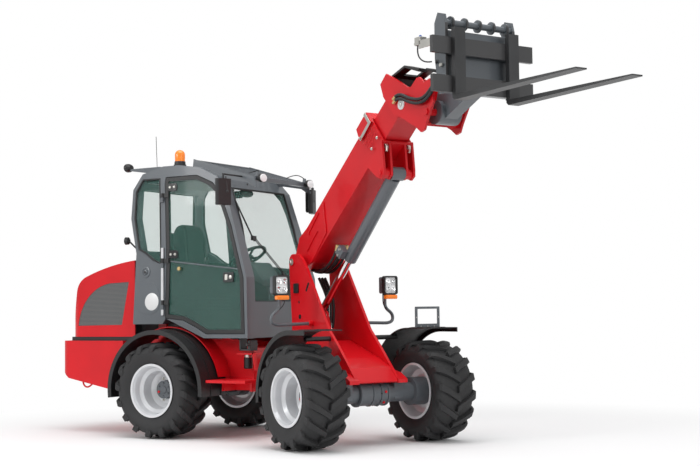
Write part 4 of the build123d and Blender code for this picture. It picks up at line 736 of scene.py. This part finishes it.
def small_fittings():
    """Rear lamp, the cab's rubber mount, the filter with its support, and the towing eye."""
    lamp = Shape(REAR).turned((-0.5, -0.5, 1.782), (-1, -0.2, 0),
                              [(0, 0.018), (0.012, 0.034), (0.04, 0.036), (0.044, 0.03)], 28)
    lamp.rod((-0.5, -0.5, 1.775), (-0.435, -0.49, 1.715), 0.008)
    lamp.done("rear_reversing_lamp", "rear_frame", PLASTIC, slot="black_plastic")
    bracket = Shape(REAR).block((0.745, -0.5, 0.772), (0.76, -0.4, 0.88))
    bracket.block((0.745, -0.5, 0.772), (0.87, -0.4, 0.786))
    bracket.block((0.838, -0.505, 0.786), (0.866, -0.395, 0.862))
    bracket.rod((0.852, -0.54, 0.826), (0.852, -0.38, 0.826), 0.013, edge=0.003)
    bracket.done("cab_mount", "rear_frame", DARK_STEEL, slot="black_steel", bevel=0.003)
    canister = Shape(REAR).turned((0.79, -0.43, 0.612), Z,
                                  [(0, 0.03), (0.006, 0.038), (0.095, 0.038), (0.1, 0.034)], 32)
    canister.done("filter", "rear_frame", PLASTIC)
    top = Shape(REAR).turned((0.79, -0.43, 0.711), Z,
                             [(0, 0.034), (0.004, 0.036), (0.034, 0.036), (0.038, 0.03)], 32)
    top.done("filter_head", "rear_frame", ZINC)
    support = Shape(REAR).slab([(0.7, 0.752), (0.88, 0.752), (0.88, 0.735), (0.7, 0.735)], -0.48, -0.355)
    support.slab([(0.865, 0.752), (0.88, 0.752), (0.905, 0.6), (0.89, 0.6)], -0.48, -0.44)
    support.done("filter_support", "rear_frame", RED, slot="red_paint", bevel=0.002)
    tube("tow_eye", REAR, [(-1.08, -0.5, 0.48), (-1.075, -0.5, 0.432), (-1.0, -0.5, 0.415),
                           (-0.945, -0.5, 0.47)], 0.008, "rear_frame", RED)


MIRROR_TURN = radians(20)


def mirror_parts():
    """Brackets and glass of the outer mirrors, and the mirror inside the windscreen."""
    brackets = Shape(REAR)
    for hand in (-1, 1):
        brackets.rod((0.76, hand * 0.7, 2.29), (0.77, hand * 0.69, 2.165), 0.006)
        brackets.turned((0.762, hand * 0.69, 2.16), (1, -0.35 * hand, 0),
                        [(0, 0.014), (0.012, 0.014), (0.016, 0.008)], 20)
    brackets.done("mirror_brackets", "rear_frame", DARK_STEEL)
    for hand, side_name in SIDES:
        turn = Matrix.Rotation(-hand * MIRROR_TURN, 4, "Z")
        face = Shape(REAR @ Matrix.Translation((0.74, hand * 0.71, 2.155)) @ turn)
        face.slab(rounded(0.126, 0.205, 0.018), -0.0245, -0.0235, "across")
        face.done(f"mirror_glass_{side_name}", "rear_frame", MIRROR)
    inner = Shape(REAR)
    oval_body(inner, 0.56, 1, 0.105, 0.038, (-0.13, 2.19),
              ((0, 0.96), (0.006, 1.0), (0.02, 0.9), (0.03, 0.5)))
    inner.rod((0.575, -0.13, 2.215), (0.56, -0.1, 2.28), 0.007)
    inner.done("inner_mirror", "rear_frame", PLASTIC)


for build in (hinge_tubes, right_wall_details, aerial_and_wiper, small_fittings, mirror_parts):
    build()


def linings_and_levers():
    """Lining under the roof, and the console and joystick by the seat."""
    outline = [(-0.33, 2.325), (0.4, 2.325), (0.505, 2.262), (0.485, 2.25), (0.385, 2.3), (-0.33, 2.3)]
    lining = Shape(REAR).slab(outline, -0.455, 0.455)
    lining.done("roof_lining", "rear_frame", TRIM, bevel=0.006)
    console = Shape(REAR).block((-0.02, -0.375, 1.26), (0.3, -0.275, 1.42))
    console.done("side_console", "rear_frame", PLASTIC, bevel=0.012)
    lever = Shape(REAR).turned((0.24, -0.325, 1.418), (0.1, 0, 1),
                               [(0, 0.03), (0.01, 0.026), (0.04, 0.011), (0.08, 0.012), (0.11, 0.024),
                                (0.16, 0.027), (0.19, 0.018), (0.198, 0.004)], 24)
    lever.done("joystick", "rear_frame", GLOSS_BLACK)


STEERING_HUB, STEERING_LEAN = (0.49, 0, 1.603), radians(-30)
STEERING_RADIUS, GRIP_RADIUS, GRIP_RISE = 0.176, 0.0145, 0.013


def steering():
    """Steering wheel with three spokes, and the console that its column stands in."""
    wheel = Shape(REAR @ Matrix.Translation(STEERING_HUB) @ Matrix.Rotation(STEERING_LEAN, 4, "Y"))
    grip = [(STEERING_RADIUS + GRIP_RADIUS * cos(tau * t / 14), GRIP_RADIUS * sin(tau * t / 14) + GRIP_RISE)
            for t in range(14)]
    rows = [[(reach * x, reach * y, z) for reach, z in grip] for _, x, y in circle(1, 56)]
    wheel.rings(rows, closed=True)
    for angle in (90, 210, 330):
        way = Vector((cos(radians(angle)), sin(radians(angle)), 0))
        wheel.rod(way * 0.03 + UP * 0.003, way * STEERING_RADIUS + UP * GRIP_RISE, 0.011)
    wheel.turned((0, 0, -0.012), Z, [(0, 0.052), (0.016, 0.052), (0.026, 0.04), (0.028, 0.01)], 32)
    wheel.rod((0, 0, -0.2), (0, 0, -0.008), 0.028)
    wheel.done("steering_wheel", "rear_frame", PLASTIC, slot="black_plastic", replaces=("steering_column",))
    column = Shape(REAR).slab([(0.602, 0.926), (0.786, 0.926), (0.778, 1.3), (0.64, 1.52), (0.56, 1.545),
                               (0.545, 1.5), (0.602, 1.25)], -0.085, 0.085)
    column.slab([(0.59, 1.42), (0.76, 1.33), (0.765, 1.4), (0.64, 1.56), (0.585, 1.56)], -0.15, 0.15)
    column.done("steering_console", "rear_frame", TRIM, bevel=0.018, segments=3)


linings_and_levers()
steering()


# Seat: its cushions are blown up as cloth, then grooved

CUSHION = (
    (-0.205, 1.275), (0.27, 1.282), (0.322, 1.3), (0.33, 1.33), (0.3, 1.346), (0.06, 1.338), (-0.18, 1.345),
    (-0.21, 1.33),
)
BACKREST = (
    (-0.1, 1.372), (-0.188, 1.372), (-0.238, 1.5), (-0.243, 1.76), (-0.238, 1.905), (-0.215, 1.955),
    (-0.165, 1.945), (-0.142, 1.85), (-0.135, 1.7), (-0.112, 1.5),
)
CUSHION_HALF_WIDTH = 0.228
CLOTH_VOXEL = 0.008
CLOTH_FRAMES = 16
CLOTH_PRESSURE = 4
MOST_SWELL = 0.012
END_ROUNDING = 0.32
CHANNEL_Y, CHANNEL_DEPTH, CHANNEL_WIDTH = 0.125, 0.006, 0.007


def evaluated_mesh(piece):
    """Mesh of a piece as its modifiers leave it."""
    view = bpy.context.evaluated_depsgraph_get()
    return bpy.data.meshes.new_from_object(piece.evaluated_get(view), depsgraph=view)


def blown_up(piece):
    """Fills a cushion by a cloth run with pressure, and keeps each point close to where it was."""
    before = [point.co.copy() for point in piece.data.vertices]
    cloth = piece.modifiers.new("cloth", "CLOTH")
    cloth.settings.use_pressure = True
    cloth.settings.uniform_pressure_force = CLOTH_PRESSURE
    cloth.settings.effector_weights.gravity = 0
    cloth.settings.quality = 4
    scene = bpy.context.scene
    for step in range(1, CLOTH_FRAMES + 1):
        scene.frame_set(step)
    after = [point.co.copy() for point in evaluated_mesh(piece).vertices]
    piece.modifiers.remove(cloth)
    scene.frame_set(1)
    for point, old, new in zip(piece.data.vertices, before, after):
        move = new - old
        if move.length > MOST_SWELL:
            move = move.normalized() * MOST_SWELL
        point.co = old + move


def cushion(name, profile, half_width):
    """Padded form with sewn channels lengthwise."""
    middle_x = sum(x for x, _ in profile) / len(profile)
    middle_z = sum(z for _, z in profile) / len(profile)
    start = Shape(REAR)
    rows = []
    for step in range(-8, 9):
        share = step / 8
        size = 1 - abs(share) ** 5 * END_ROUNDING
        rows.append([
            (middle_x + (x - middle_x) * size, share * half_width, middle_z + (z - middle_z) * size)
            for x, z in softened(profile)
        ])
    start.rings(rows)
    piece = start.done(name, "rear_frame", CLOTH, slot="seat", smooth=False)
    remesh = piece.modifiers.new("remesh", "REMESH")
    remesh.mode = "VOXEL"
    remesh.voxel_size = CLOTH_VOXEL
    piece.data = evaluated_mesh(piece)
    piece.modifiers.remove(remesh)
    blown_up(piece)
    home, data = REAR.inverted(), piece.data
    for point, normal in [(point, point.normal.copy()) for point in data.vertices]:
        across = (home @ point.co).y
        dip = sum(exp(-((across - line) / CHANNEL_WIDTH) ** 2) for line in (-CHANNEL_Y, CHANNEL_Y))
        point.co -= normal * CHANNEL_DEPTH * dip
    data.materials.clear()
    data.materials.append(CLOTH)
    data.shade_smooth()
    finer = piece.modifiers.new("finer", "SUBSURF")
    finer.levels = finer.render_levels = 1


def seat():
    """Suspension bellows, seat cushion, backrest and armrests."""
    cushion("seat_cushion", CUSHION, CUSHION_HALF_WIDTH)
    cushion("seat_backrest", BACKREST, CUSHION_HALF_WIDTH - 0.006)
    bellows = Shape(REAR)
    rows = []
    for step in range(9):
        narrow = 0.0 if step % 2 else 0.022
        rows.append([
            (x, y, 1.1256 + 0.015 * step)
            for x, y in rounded(0.36 - 2 * narrow, 0.37 - 2 * narrow, 0.05, (0.015, 0))
        ])
    bellows.rings(rows)
    bellows.done("seat_bellows", "rear_frame", PLASTIC, slot="seat", replaces=("seat",))
    shell = Shape(REAR).slab([(-0.215, 1.246), (0.29, 1.252), (0.29, 1.272), (-0.215, 1.268)], -0.2, 0.2)
    shell.slab([(-0.245, 1.262), (-0.215, 1.262), (-0.255, 1.6), (-0.262, 1.86), (-0.276, 1.86),
                (-0.272, 1.56)], -0.195, 0.195)
    shell.done("seat_shell", "rear_frame", PLASTIC, slot="seat", bevel=0.008)
    arms = Shape(REAR)
    for hand in (-1, 1):
        arms.slab(softened(((-0.2, 1.545), (0.08, 1.54), (0.08, 1.58), (-0.2, 1.59))),
                  hand * 0.216 - 0.024, hand * 0.216 + 0.024)
    arms.done("seat_armrests", "rear_frame", PLASTIC, slot="seat", bevel=0.01)


seat()


# Boom, cylinders, head and carriage


def stadium(start, end, half_width, steps=8):
    """Outline of a slot between two points."""
    start, end = Vector(start), Vector(end)
    way = (end - start).normalized()
    turn = atan2(way.y, way.x)
    points = []
    for middle, first in ((end, -90), (start, 90)):
        for step in range(steps + 1):
            angle = turn + radians(first + 180 * step / steps)
            points.append((middle.x + half_width * cos(angle), middle.y + half_width * sin(angle)))
    return points


SLOT_ENDS = (((1.395, 0.035), (1.545, 0.052)), ((1.405, -0.03), (1.545, -0.012)))
BOOM_BOLT = [(-0.001, 0.013), (0.004, 0.013), (0.01, 0.008)]


def boom_plate_details():
    """Bolts and weld beads on the outer boom's sides."""
    bolts = Shape(BOOM)
    for hand in (-1, 1):
        for s, n in ((1.548, -0.06), (1.438, -0.073)):
            bolts.turned((s, hand * 0.158, n), (0, hand, 0), BOOM_BOLT, 20)
    bolts.done("boom_bolts", "outer_boom", ZINC)
    for hand, side_name in SIDES:
        for number, (start, end) in enumerate(SLOT_ENDS):
            tube(f"boom_slot_bead_{side_name}_{number}", BOOM,
                 [(s, hand * 0.1585, n) for s, n in stadium(start, end, 0.013)],
                 0.0025, "outer_boom", RED, cyclic=True, kind="POLY", sides=3)
        tube(f"boom_weld_{side_name}", BOOM, [(0.621, hand * 0.1475, 0.126), (0.479, hand * 0.1475, -0.101)],
             0.0045, "outer_boom", RED, kind="POLY", sides=3)


def boom_end_details():
    """Clamp round the outer boom's end, and the fittings below it."""
    clamp = Shape(BOOM)
    clamp.slab([(1.372, 0.088), (1.372, 0.116), (1.572, 0.123), (1.572, 0.095)], -0.164, -0.1585)
    clamp.slab([(1.542, 0.118), (1.572, 0.122), (1.572, 0.214), (1.542, 0.214)], -0.164, -0.1585)
    clamp.block((1.542, -0.164, 0.2105), (1.572, -0.05, 0.2155))
    clamp.rod((1.39, -0.164, 0.102), (1.39, -0.176, 0.102), 0.012, 6)
    clamp.rod((1.557, -0.075, 0.215), (1.557, -0.075, 0.226), 0.012, 6)
    clamp.done("boom_clamp", "outer_boom", ZINC, bevel=0.002)
    fittings = Shape(BOOM)
    for y in (-0.112, 0.112):
        fittings.rod((1.55, y, -0.13), (1.55, y, -0.172), 0.013, 12, edge=0.002)
        fittings.rod((1.55, y, -0.167), (1.538, y - 0.014, -0.205), 0.01, 12, edge=0.002)
        fittings.turned((1.538, y, -0.15), X, [(0, 0.017), (0.024, 0.017), (0.026, 0.014)], 6)
    fittings.done("boom_fittings", "outer_boom", ZINC)


def boom_pin_bolts():
    """Bolt and washer on each end of the boom's pin."""
    pins = Shape(FRONT)
    for hand in (-1, 1):
        spot, way = (0.235, hand * 0.231, 1.54), (0, hand, 0)
        pins.turned(spot, way,
                    [(0, 0.026), (0.004, 0.026), (0.0045, 0.018), (0.016, 0.017), (0.018, 0.013)], 6)
        pins.turned(spot, way, [(0, 0.03), (0.003, 0.03)], 30)
    pins.done("boom_pin_bolts", "front_frame", ZINC)


HOSE_RADIUS, FERRULE_RADIUS = 0.0125, 0.0145
BOOM_HOSES = ((-0.06, 0.0), (-0.028, 0.012), (0.006, 0.0), (0.04, 0.012))
BOOM_HOSE_LINE = ((0.3, 1.47), (0.39, 1.452), (0.5, 1.47), (0.6, 1.525), (0.665, 1.59))
TOWER_HOSES = (0.075, 0.106, 0.137)
TOWER_HOSE_LINE = ((0.2, 1.4), (0.242, 1.345), (0.288, 1.285), (0.328, 1.22), (0.345, 1.1), (0.32, 0.96))


def root_hoses():
    """Hoses at the boom's root, and others that run down between the tower's plates."""
    ends = Shape(FRONT)
    for number, (y, low) in enumerate(BOOM_HOSES):
        line = [(x, y, z - low) for x, z in BOOM_HOSE_LINE] + [(0.69, y, 1.64)]
        tube(f"boom_hose_{number}", FRONT, line, HOSE_RADIUS, "outer_boom", HOSE)
        ends.rod((0.684, y, 1.622), (0.704, y, 1.672), FERRULE_RADIUS, 6, edge=0.002)
    ends.done("boom_hose_ends", "outer_boom", BRASS)
    for number, y in enumerate(TOWER_HOSES):
        line = [(x, y, z) for x, z in TOWER_HOSE_LINE]
        tube(f"tower_hose_{number}", FRONT, line, HOSE_RADIUS, "front_frame", HOSE)


def lift_valve():
    """Valve block on the lift cylinder's barrel, with two caps."""
    x, y, z = LIFT.inverted() @ FRONT @ Vector((0.805, -0.082, 1.605))
    block = Shape(LIFT).block((x - 0.043, y - 0.03, z - 0.043), (x + 0.043, y + 0.03, z + 0.043))
    block.done("lift_valve_block", "lift_barrel", GREY, slot="grey_paint", bevel=0.004)
    caps = Shape(LIFT).rod((x - 0.03, y - 0.03, z), (x - 0.03, y - 0.046, z), 0.011, 6)
    caps.rod((x + 0.024, y - 0.03, z + 0.012), (x + 0.024, y - 0.04, z + 0.012), 0.012, 6)
    caps.done("lift_valve_caps", "lift_barrel", ZINC)


for build in (boom_plate_details, boom_end_details, boom_pin_bolts, root_hoses, lift_valve):
    build()

BAND = [(0, 0.101), (0.003, 0.109), (0.019, 0.109), (0.022, 0.101)]
BAND_BOLT = [(-0.002, 0.007), (0.007, 0.007), (0.009, 0.005)]
DRIVE_PLUG = [(-0.003, 0.012), (0.007, 0.012), (0.009, 0.009)]
DRIVE_RADIUS = 0.102


def tower_details():
    """Connector on the right tower plate, and on both plates thin black discs and slots, painted shade where
    holes would be.
    """
    socket, holes = Shape(FRONT), Shape(FRONT)
    socket.slab(rounded(0.07, 0.085, 0.008, (0.3, 1.31)), -0.236, -0.2195)
    socket.slab(rounded(0.05, 0.062, 0.006, (0.3, 1.31)), -0.24, -0.236)
    socket.done("tower_socket", "front_frame", PLASTIC, bevel=0.002)
    for hand in (-1, 1):
        # Painted shade: thin black discs and slots lie on the plate where its holes are.
        holes.slab(stadium((0.455, 1.29), (0.49, 1.345), 0.012), hand * 0.22, hand * 0.2206)
        for x, z, radius in ((0.347, 1.063, 0.021), (0.335, 1.19, 0.012)):
            holes.turned((x, hand * 0.22, z), (0, hand, 0), [(0, radius), (0.0006, radius)], 24)
    holes.done("tower_holes", "front_frame", GLOSS_BLACK)


def drive_details():
    """Bands, bolts, plugs and rings on the front axle's drive."""
    axle_x, axle_z = PIVOT_TO_FRONT_AXLE, WHEEL_RADIUS
    bands, bolts, plugs, rings = (Shape(FRONT) for _ in range(4))
    for y in (-0.142, -0.02, 0.06, 0.128):
        bands.turned((axle_x, y, axle_z), Y, BAND, 48)
    for (angle, x, z), (_, far_x, far_z) in zip(circle(0.092, 10), circle(0.105, 10)):
        bolts.turned((axle_x + x, 0.1455, axle_z + z), Y, [(0, 0.009), (0.008, 0.009), (0.01, 0.007)], 6)
        bolts.turned((axle_x + far_x, 0.06, axle_z + far_z), (cos(angle), 0, sin(angle)), BAND_BOLT, 6)
    for y, z in ((0.103, 0.438), (0.1, 0.352)):
        reach = sqrt(DRIVE_RADIUS ** 2 - (z - axle_z) ** 2)
        plugs.turned((axle_x + reach, y, z), (reach, 0, z - axle_z), DRIVE_PLUG, 6)
    bands.done("axle_drive_bands", "front_frame", CAST, slot="cast_grey")
    bolts.done("axle_drive_bolts", "front_frame", DARK_STEEL)
    plugs.done("axle_drive_plugs", "front_frame", RED)
    for hand in (-1, 1):
        for y, radius in ((0.25, 0.066), (0.455, 0.07)):
            rings.turned((axle_x, hand * y, axle_z), (0, hand, 0),
                         [(0, 0.057), (0.003, radius), (0.02, radius), (0.023, 0.057)], 40)
    rings.done("axle_rings", "front_frame", CAST, slot="cast_grey")


tower_details()
drive_details()

PLATE_CENTRE = (0.59, 1.046)
PLATE_BACK, PLATE_FACE = 1.098, 1.102
SCREWS = ((-0.118, 0.0), (0.118, 0.0), (-0.07, -0.076), (0.0, -0.076), (0.07, -0.076))


def plate_frame():
    """Empty frame for a number plate on the left front fender."""
    y, z = PLATE_CENTRE
    outer = rounded(0.262, 0.182, 0.006, PLATE_CENTRE)
    inner = rounded(0.208, 0.126, 0.004, (y, z + 0.008))
    levels = ((outer, PLATE_BACK), (outer, PLATE_FACE), (inner, PLATE_FACE), (inner, PLATE_BACK))
    edge = Shape(FRONT).rings([[(depth, a, b) for a, b in points] for points, depth in levels], closed=True)
    edge.slab([(PLATE_BACK, 0.96), (1.13, 0.96), (1.13, 0.955), (PLATE_BACK, 0.955)], 0.5, 0.69)
    edge.done("plate_frame", "front_frame", GREY, slot="grey_paint")
    screws = Shape(FRONT)
    for a, b in SCREWS:
        screws.turned((PLATE_FACE, y + a, z + b), X, [(-0.001, 0.005), (0.002, 0.005)], 12)
    screws.done("plate_frame_screws", "front_frame", ZINC)


plate_frame()

HEAD_PIN = (1.971, -0.133)
COVER_SIDE = ((1.925, 0.11), (1.998, 0.176), (2.174, 0.103), (2.285, -0.06), (2.262, -0.075), (2.165, 0.085),
              (2.002, 0.152), (1.94, 0.095))
COVER_MIDDLE = ((1.925, 0.11), (1.998, 0.176), (2.056, 0.152), (2.05, 0.132), (2.002, 0.152), (1.94, 0.095))
COVER_INNER, COVER_OUTER = 0.068, 0.15


def head_joint():
    """Washers and bolts on the coupler's pin, and the cover over the head, which is short in its middle."""
    washers, hubs = Shape(BOOM), Shape(BOOM)
    s, n = HEAD_PIN
    for hand in (-1, 1):
        washers.turned((s, hand * 0.1815, n), (0, hand, 0), [(0, 0.042), (0.005, 0.042), (0.006, 0.039)], 36)
        hubs.turned((s, hand * 0.187, n), (0, hand, 0), [(0, 0.016), (0.009, 0.016), (0.01, 0.013)], 6)
    washers.done("head_washers", "inner_boom", WHITE)
    hubs.done("head_bolts", "inner_boom", ZINC)
    cover = Shape(BOOM)
    cover.slab(COVER_SIDE, -COVER_OUTER, -COVER_INNER)
    cover.slab(COVER_MIDDLE, -COVER_INNER, COVER_INNER)
    cover.slab(COVER_SIDE, COVER_INNER, COVER_OUTER)
    cover.done("head_cover", "inner_boom", PLASTIC, bevel=0.003)


HEAD_HOSE_LINE = ((1.765, -0.196, 2.785), (1.833, -0.205, 2.8), (1.962, -0.21, 2.742), (2.1, -0.21, 2.712),
                  (2.19, -0.205, 2.742), (2.225, -0.19, 2.793))


def head_hoses():
    """Two hoses along the head's right side."""
    ends = Shape(FRONT)
    for number, drop in enumerate((0.0, 0.03)):
        line = [(x, y, z - drop) for x, y, z in HEAD_HOSE_LINE]
        tube(f"head_hose_{number}", FRONT, line, 0.013, "inner_boom", HOSE)
        ends.rod((1.735, -0.196, 2.765 - drop), (1.775, -0.196, 2.789 - drop), FERRULE_RADIUS, 6, edge=0.002)
    ends.done("head_hose_ends", "inner_boom", BRASS)


CARRIAGE_SIDE = 0.346
CARRIAGE_BOLT = [(-0.001, 0.018), (0.005, 0.018), (0.012, 0.014)]


def carriage_details():
    """Bolts and thin black discs on the carriage's side plates, painted shade where holes would be, and a
    small valve with its hose.
    """
    bolts, holes = Shape(FRONT), Shape(FRONT)
    for hand in (-1, 1):
        for x, z in ((2.546, 2.896), (2.6, 2.8)):
            bolts.turned((x, hand * CARRIAGE_SIDE, z), (0, hand, 0), CARRIAGE_BOLT, 6)
        # Painted shade: a thin black disc lies on the plate where its hole is.
        holes.turned((2.491, hand * CARRIAGE_SIDE, 2.927), (0, hand, 0), [(0, 0.016), (0.0006, 0.016)], 24)
    bolts.done("carriage_bolts", "carriage", ZINC)
    holes.done("carriage_holes", "carriage", GLOSS_BLACK)
    valve = Shape(FRONT).block((2.35, -0.44, 3.06), (2.42, -0.38, 3.12))
    valve.block((2.4, -0.44, 3.03), (2.592, -0.432, 3.09))
    valve.rod((2.345, -0.41, 3.085), (2.315, -0.41, 3.08), 0.011, 8, edge=0.002)
    valve.done("carriage_valve", "carriage", ZINC, bevel=0.003)
    knob = Shape(FRONT).rod((2.385, -0.41, 3.12), (2.385, -0.41, 3.138), 0.01, 16, edge=0.003)
    knob.done("carriage_valve_cap", "carriage", BLUE)
    tube("carriage_hose", FRONT,
         [(2.352, -0.41, 3.068), (2.345, -0.412, 3.02), (2.375, -0.412, 2.96), (2.44, -0.4, 2.925),
          (2.47, -0.372, 2.93)],
         0.0055, "carriage", HOSE)


head_joint()
head_hoses()
carriage_details()


# Camera, floor, light

CAMERA_PLACE = Vector((5.9527, -9.3848, 1.117))
CAMERA_YAW = 121.267
CAMERA_PITCH = 3.3226
CAMERA_ROLL = -0.7373
FOCAL_PIXELS = 1323.25
PHOTO_WIDTH = 700
SENSOR_WIDTH = 36


def make_camera():
    """Camera at the photograph's place, solved from the outlines of the wheels."""
    yaw, pitch, roll = (radians(angle) for angle in (CAMERA_YAW, CAMERA_PITCH, CAMERA_ROLL))
    look = Vector((cos(yaw) * cos(pitch), sin(yaw) * cos(pitch), sin(pitch)))
    right = look.cross(UP).normalized()
    above = right.cross(look)
    turned_right = right * cos(roll) + above * sin(roll)
    turned_up = above * cos(roll) - right * sin(roll)
    data = bpy.data.cameras.new("camera")
    data.sensor_width = SENSOR_WIDTH
    data.lens = FOCAL_PIXELS / PHOTO_WIDTH * SENSOR_WIDTH
    camera = placed("camera", data)
    turn = Matrix((turned_right, turned_up, -look)).transposed().to_4x4()
    camera.matrix_world = Matrix.Translation(CAMERA_PLACE) @ turn
    data.clip_end = 400
    bpy.context.scene.camera = camera


FLOOR_REACH = 150
FADE_START, FADE_END = 2.6, 5.5


def make_floor():
    """Pale floor that shows the shadow near the object and runs out to white further off."""
    data = bpy.data.meshes.new("floor")
    corners = [(x * FLOOR_REACH, y * FLOOR_REACH, 0) for x, y in ((-1, -1), (1, -1), (1, 1), (-1, 1))]
    data.from_pydata(corners, [], [(0, 1, 2, 3)])
    floor = placed("floor", data)
    material = bpy.data.materials.new("floor_white")
    material.use_nodes = True
    tree = material.node_tree
    shader = tree.nodes["Principled BSDF"]
    set_inputs(shader, Base_Color=(0.93, 0.93, 0.935, 1), Roughness=0.75, Specular_IOR_Level=0.1)
    kinds = ("Emission", "LightPath", "TexCoord", "MixShader")
    glow, path, place, blend = (add_node(tree, kind) for kind in kinds)
    seen, both = (add_node(tree, "Math", operation="MAXIMUM") for _ in range(2))
    length = add_node(tree, "VectorMath", operation="LENGTH")
    fade = add_node(tree, "MapRange", From_Min=FADE_START, From_Max=FADE_END)
    fade.interpolation_type = "SMOOTHSTEP"
    wire(tree, (path, "Is Camera Ray", seen, 0), (path, "Is Glossy Ray", seen, 1), (seen, 0, both, 0),
         (path, "Is Transmission Ray", both, 1), (both, 0, glow, "Strength"), (place, "Object", length, 0),
         (length, "Value", fade, "Value"), (fade, "Result", blend, "Fac"), (shader, "BSDF", blend, 1),
         (glow, "Emission", blend, 2), (blend, "Shader", tree.nodes["Material Output"], "Surface"))
    data.materials.append(material)


def make_world(strength):
    """Even surroundings, at full white where the camera sees them, also through glass."""
    world = bpy.data.worlds.new("surroundings")
    bpy.context.scene.world = world
    world.use_nodes = True
    tree = world.node_tree
    sky = set_inputs(tree.nodes["Background"], Color=(1, 1, 1, 1))
    path = add_node(tree, "LightPath")
    seen = add_node(tree, "Math", operation="MAXIMUM")
    level = add_node(tree, "MapRange", To_Min=strength, To_Max=1.0)
    wire(tree, (path, "Is Camera Ray", seen, 0), (path, "Is Transmission Ray", seen, 1),
         (seen, 0, level, "Value"), (level, "Result", sky, "Strength"))


def make_lamp(name, spot, target, size, power):
    """Large soft lamp that looks at a point."""
    data = bpy.data.lights.new(name, "AREA")
    data.shape = "RECTANGLE"
    data.size, data.size_y = size
    data.energy = power
    lamp = placed(name, data)
    way = Vector(target) - Vector(spot)
    lamp.rotation_mode = "QUATERNION"
    lamp.rotation_quaternion = way.to_track_quat("-Z", "Y")
    lamp.location = spot


SURROUNDINGS_STRENGTH = 0.62
LAMPS = (
    ("overhead", (0.5, -1.0, 7.5), (0, 0, 0), (7, 6), 330),
    ("key", (-5.5, -8.0, 5.0), (-0.5, 0, 1.2), (4, 3), 260),
    ("front", (9.0, -3.0, 3.5), (0.8, 0, 1.2), (3.5, 3.5), 150),
)
make_camera()
make_floor()
make_world(SURROUNDINGS_STRENGTH)
for lamp in LAMPS:
    make_lamp(*lamp)

view = bpy.context.scene.view_settings
view.view_transform = "Standard"
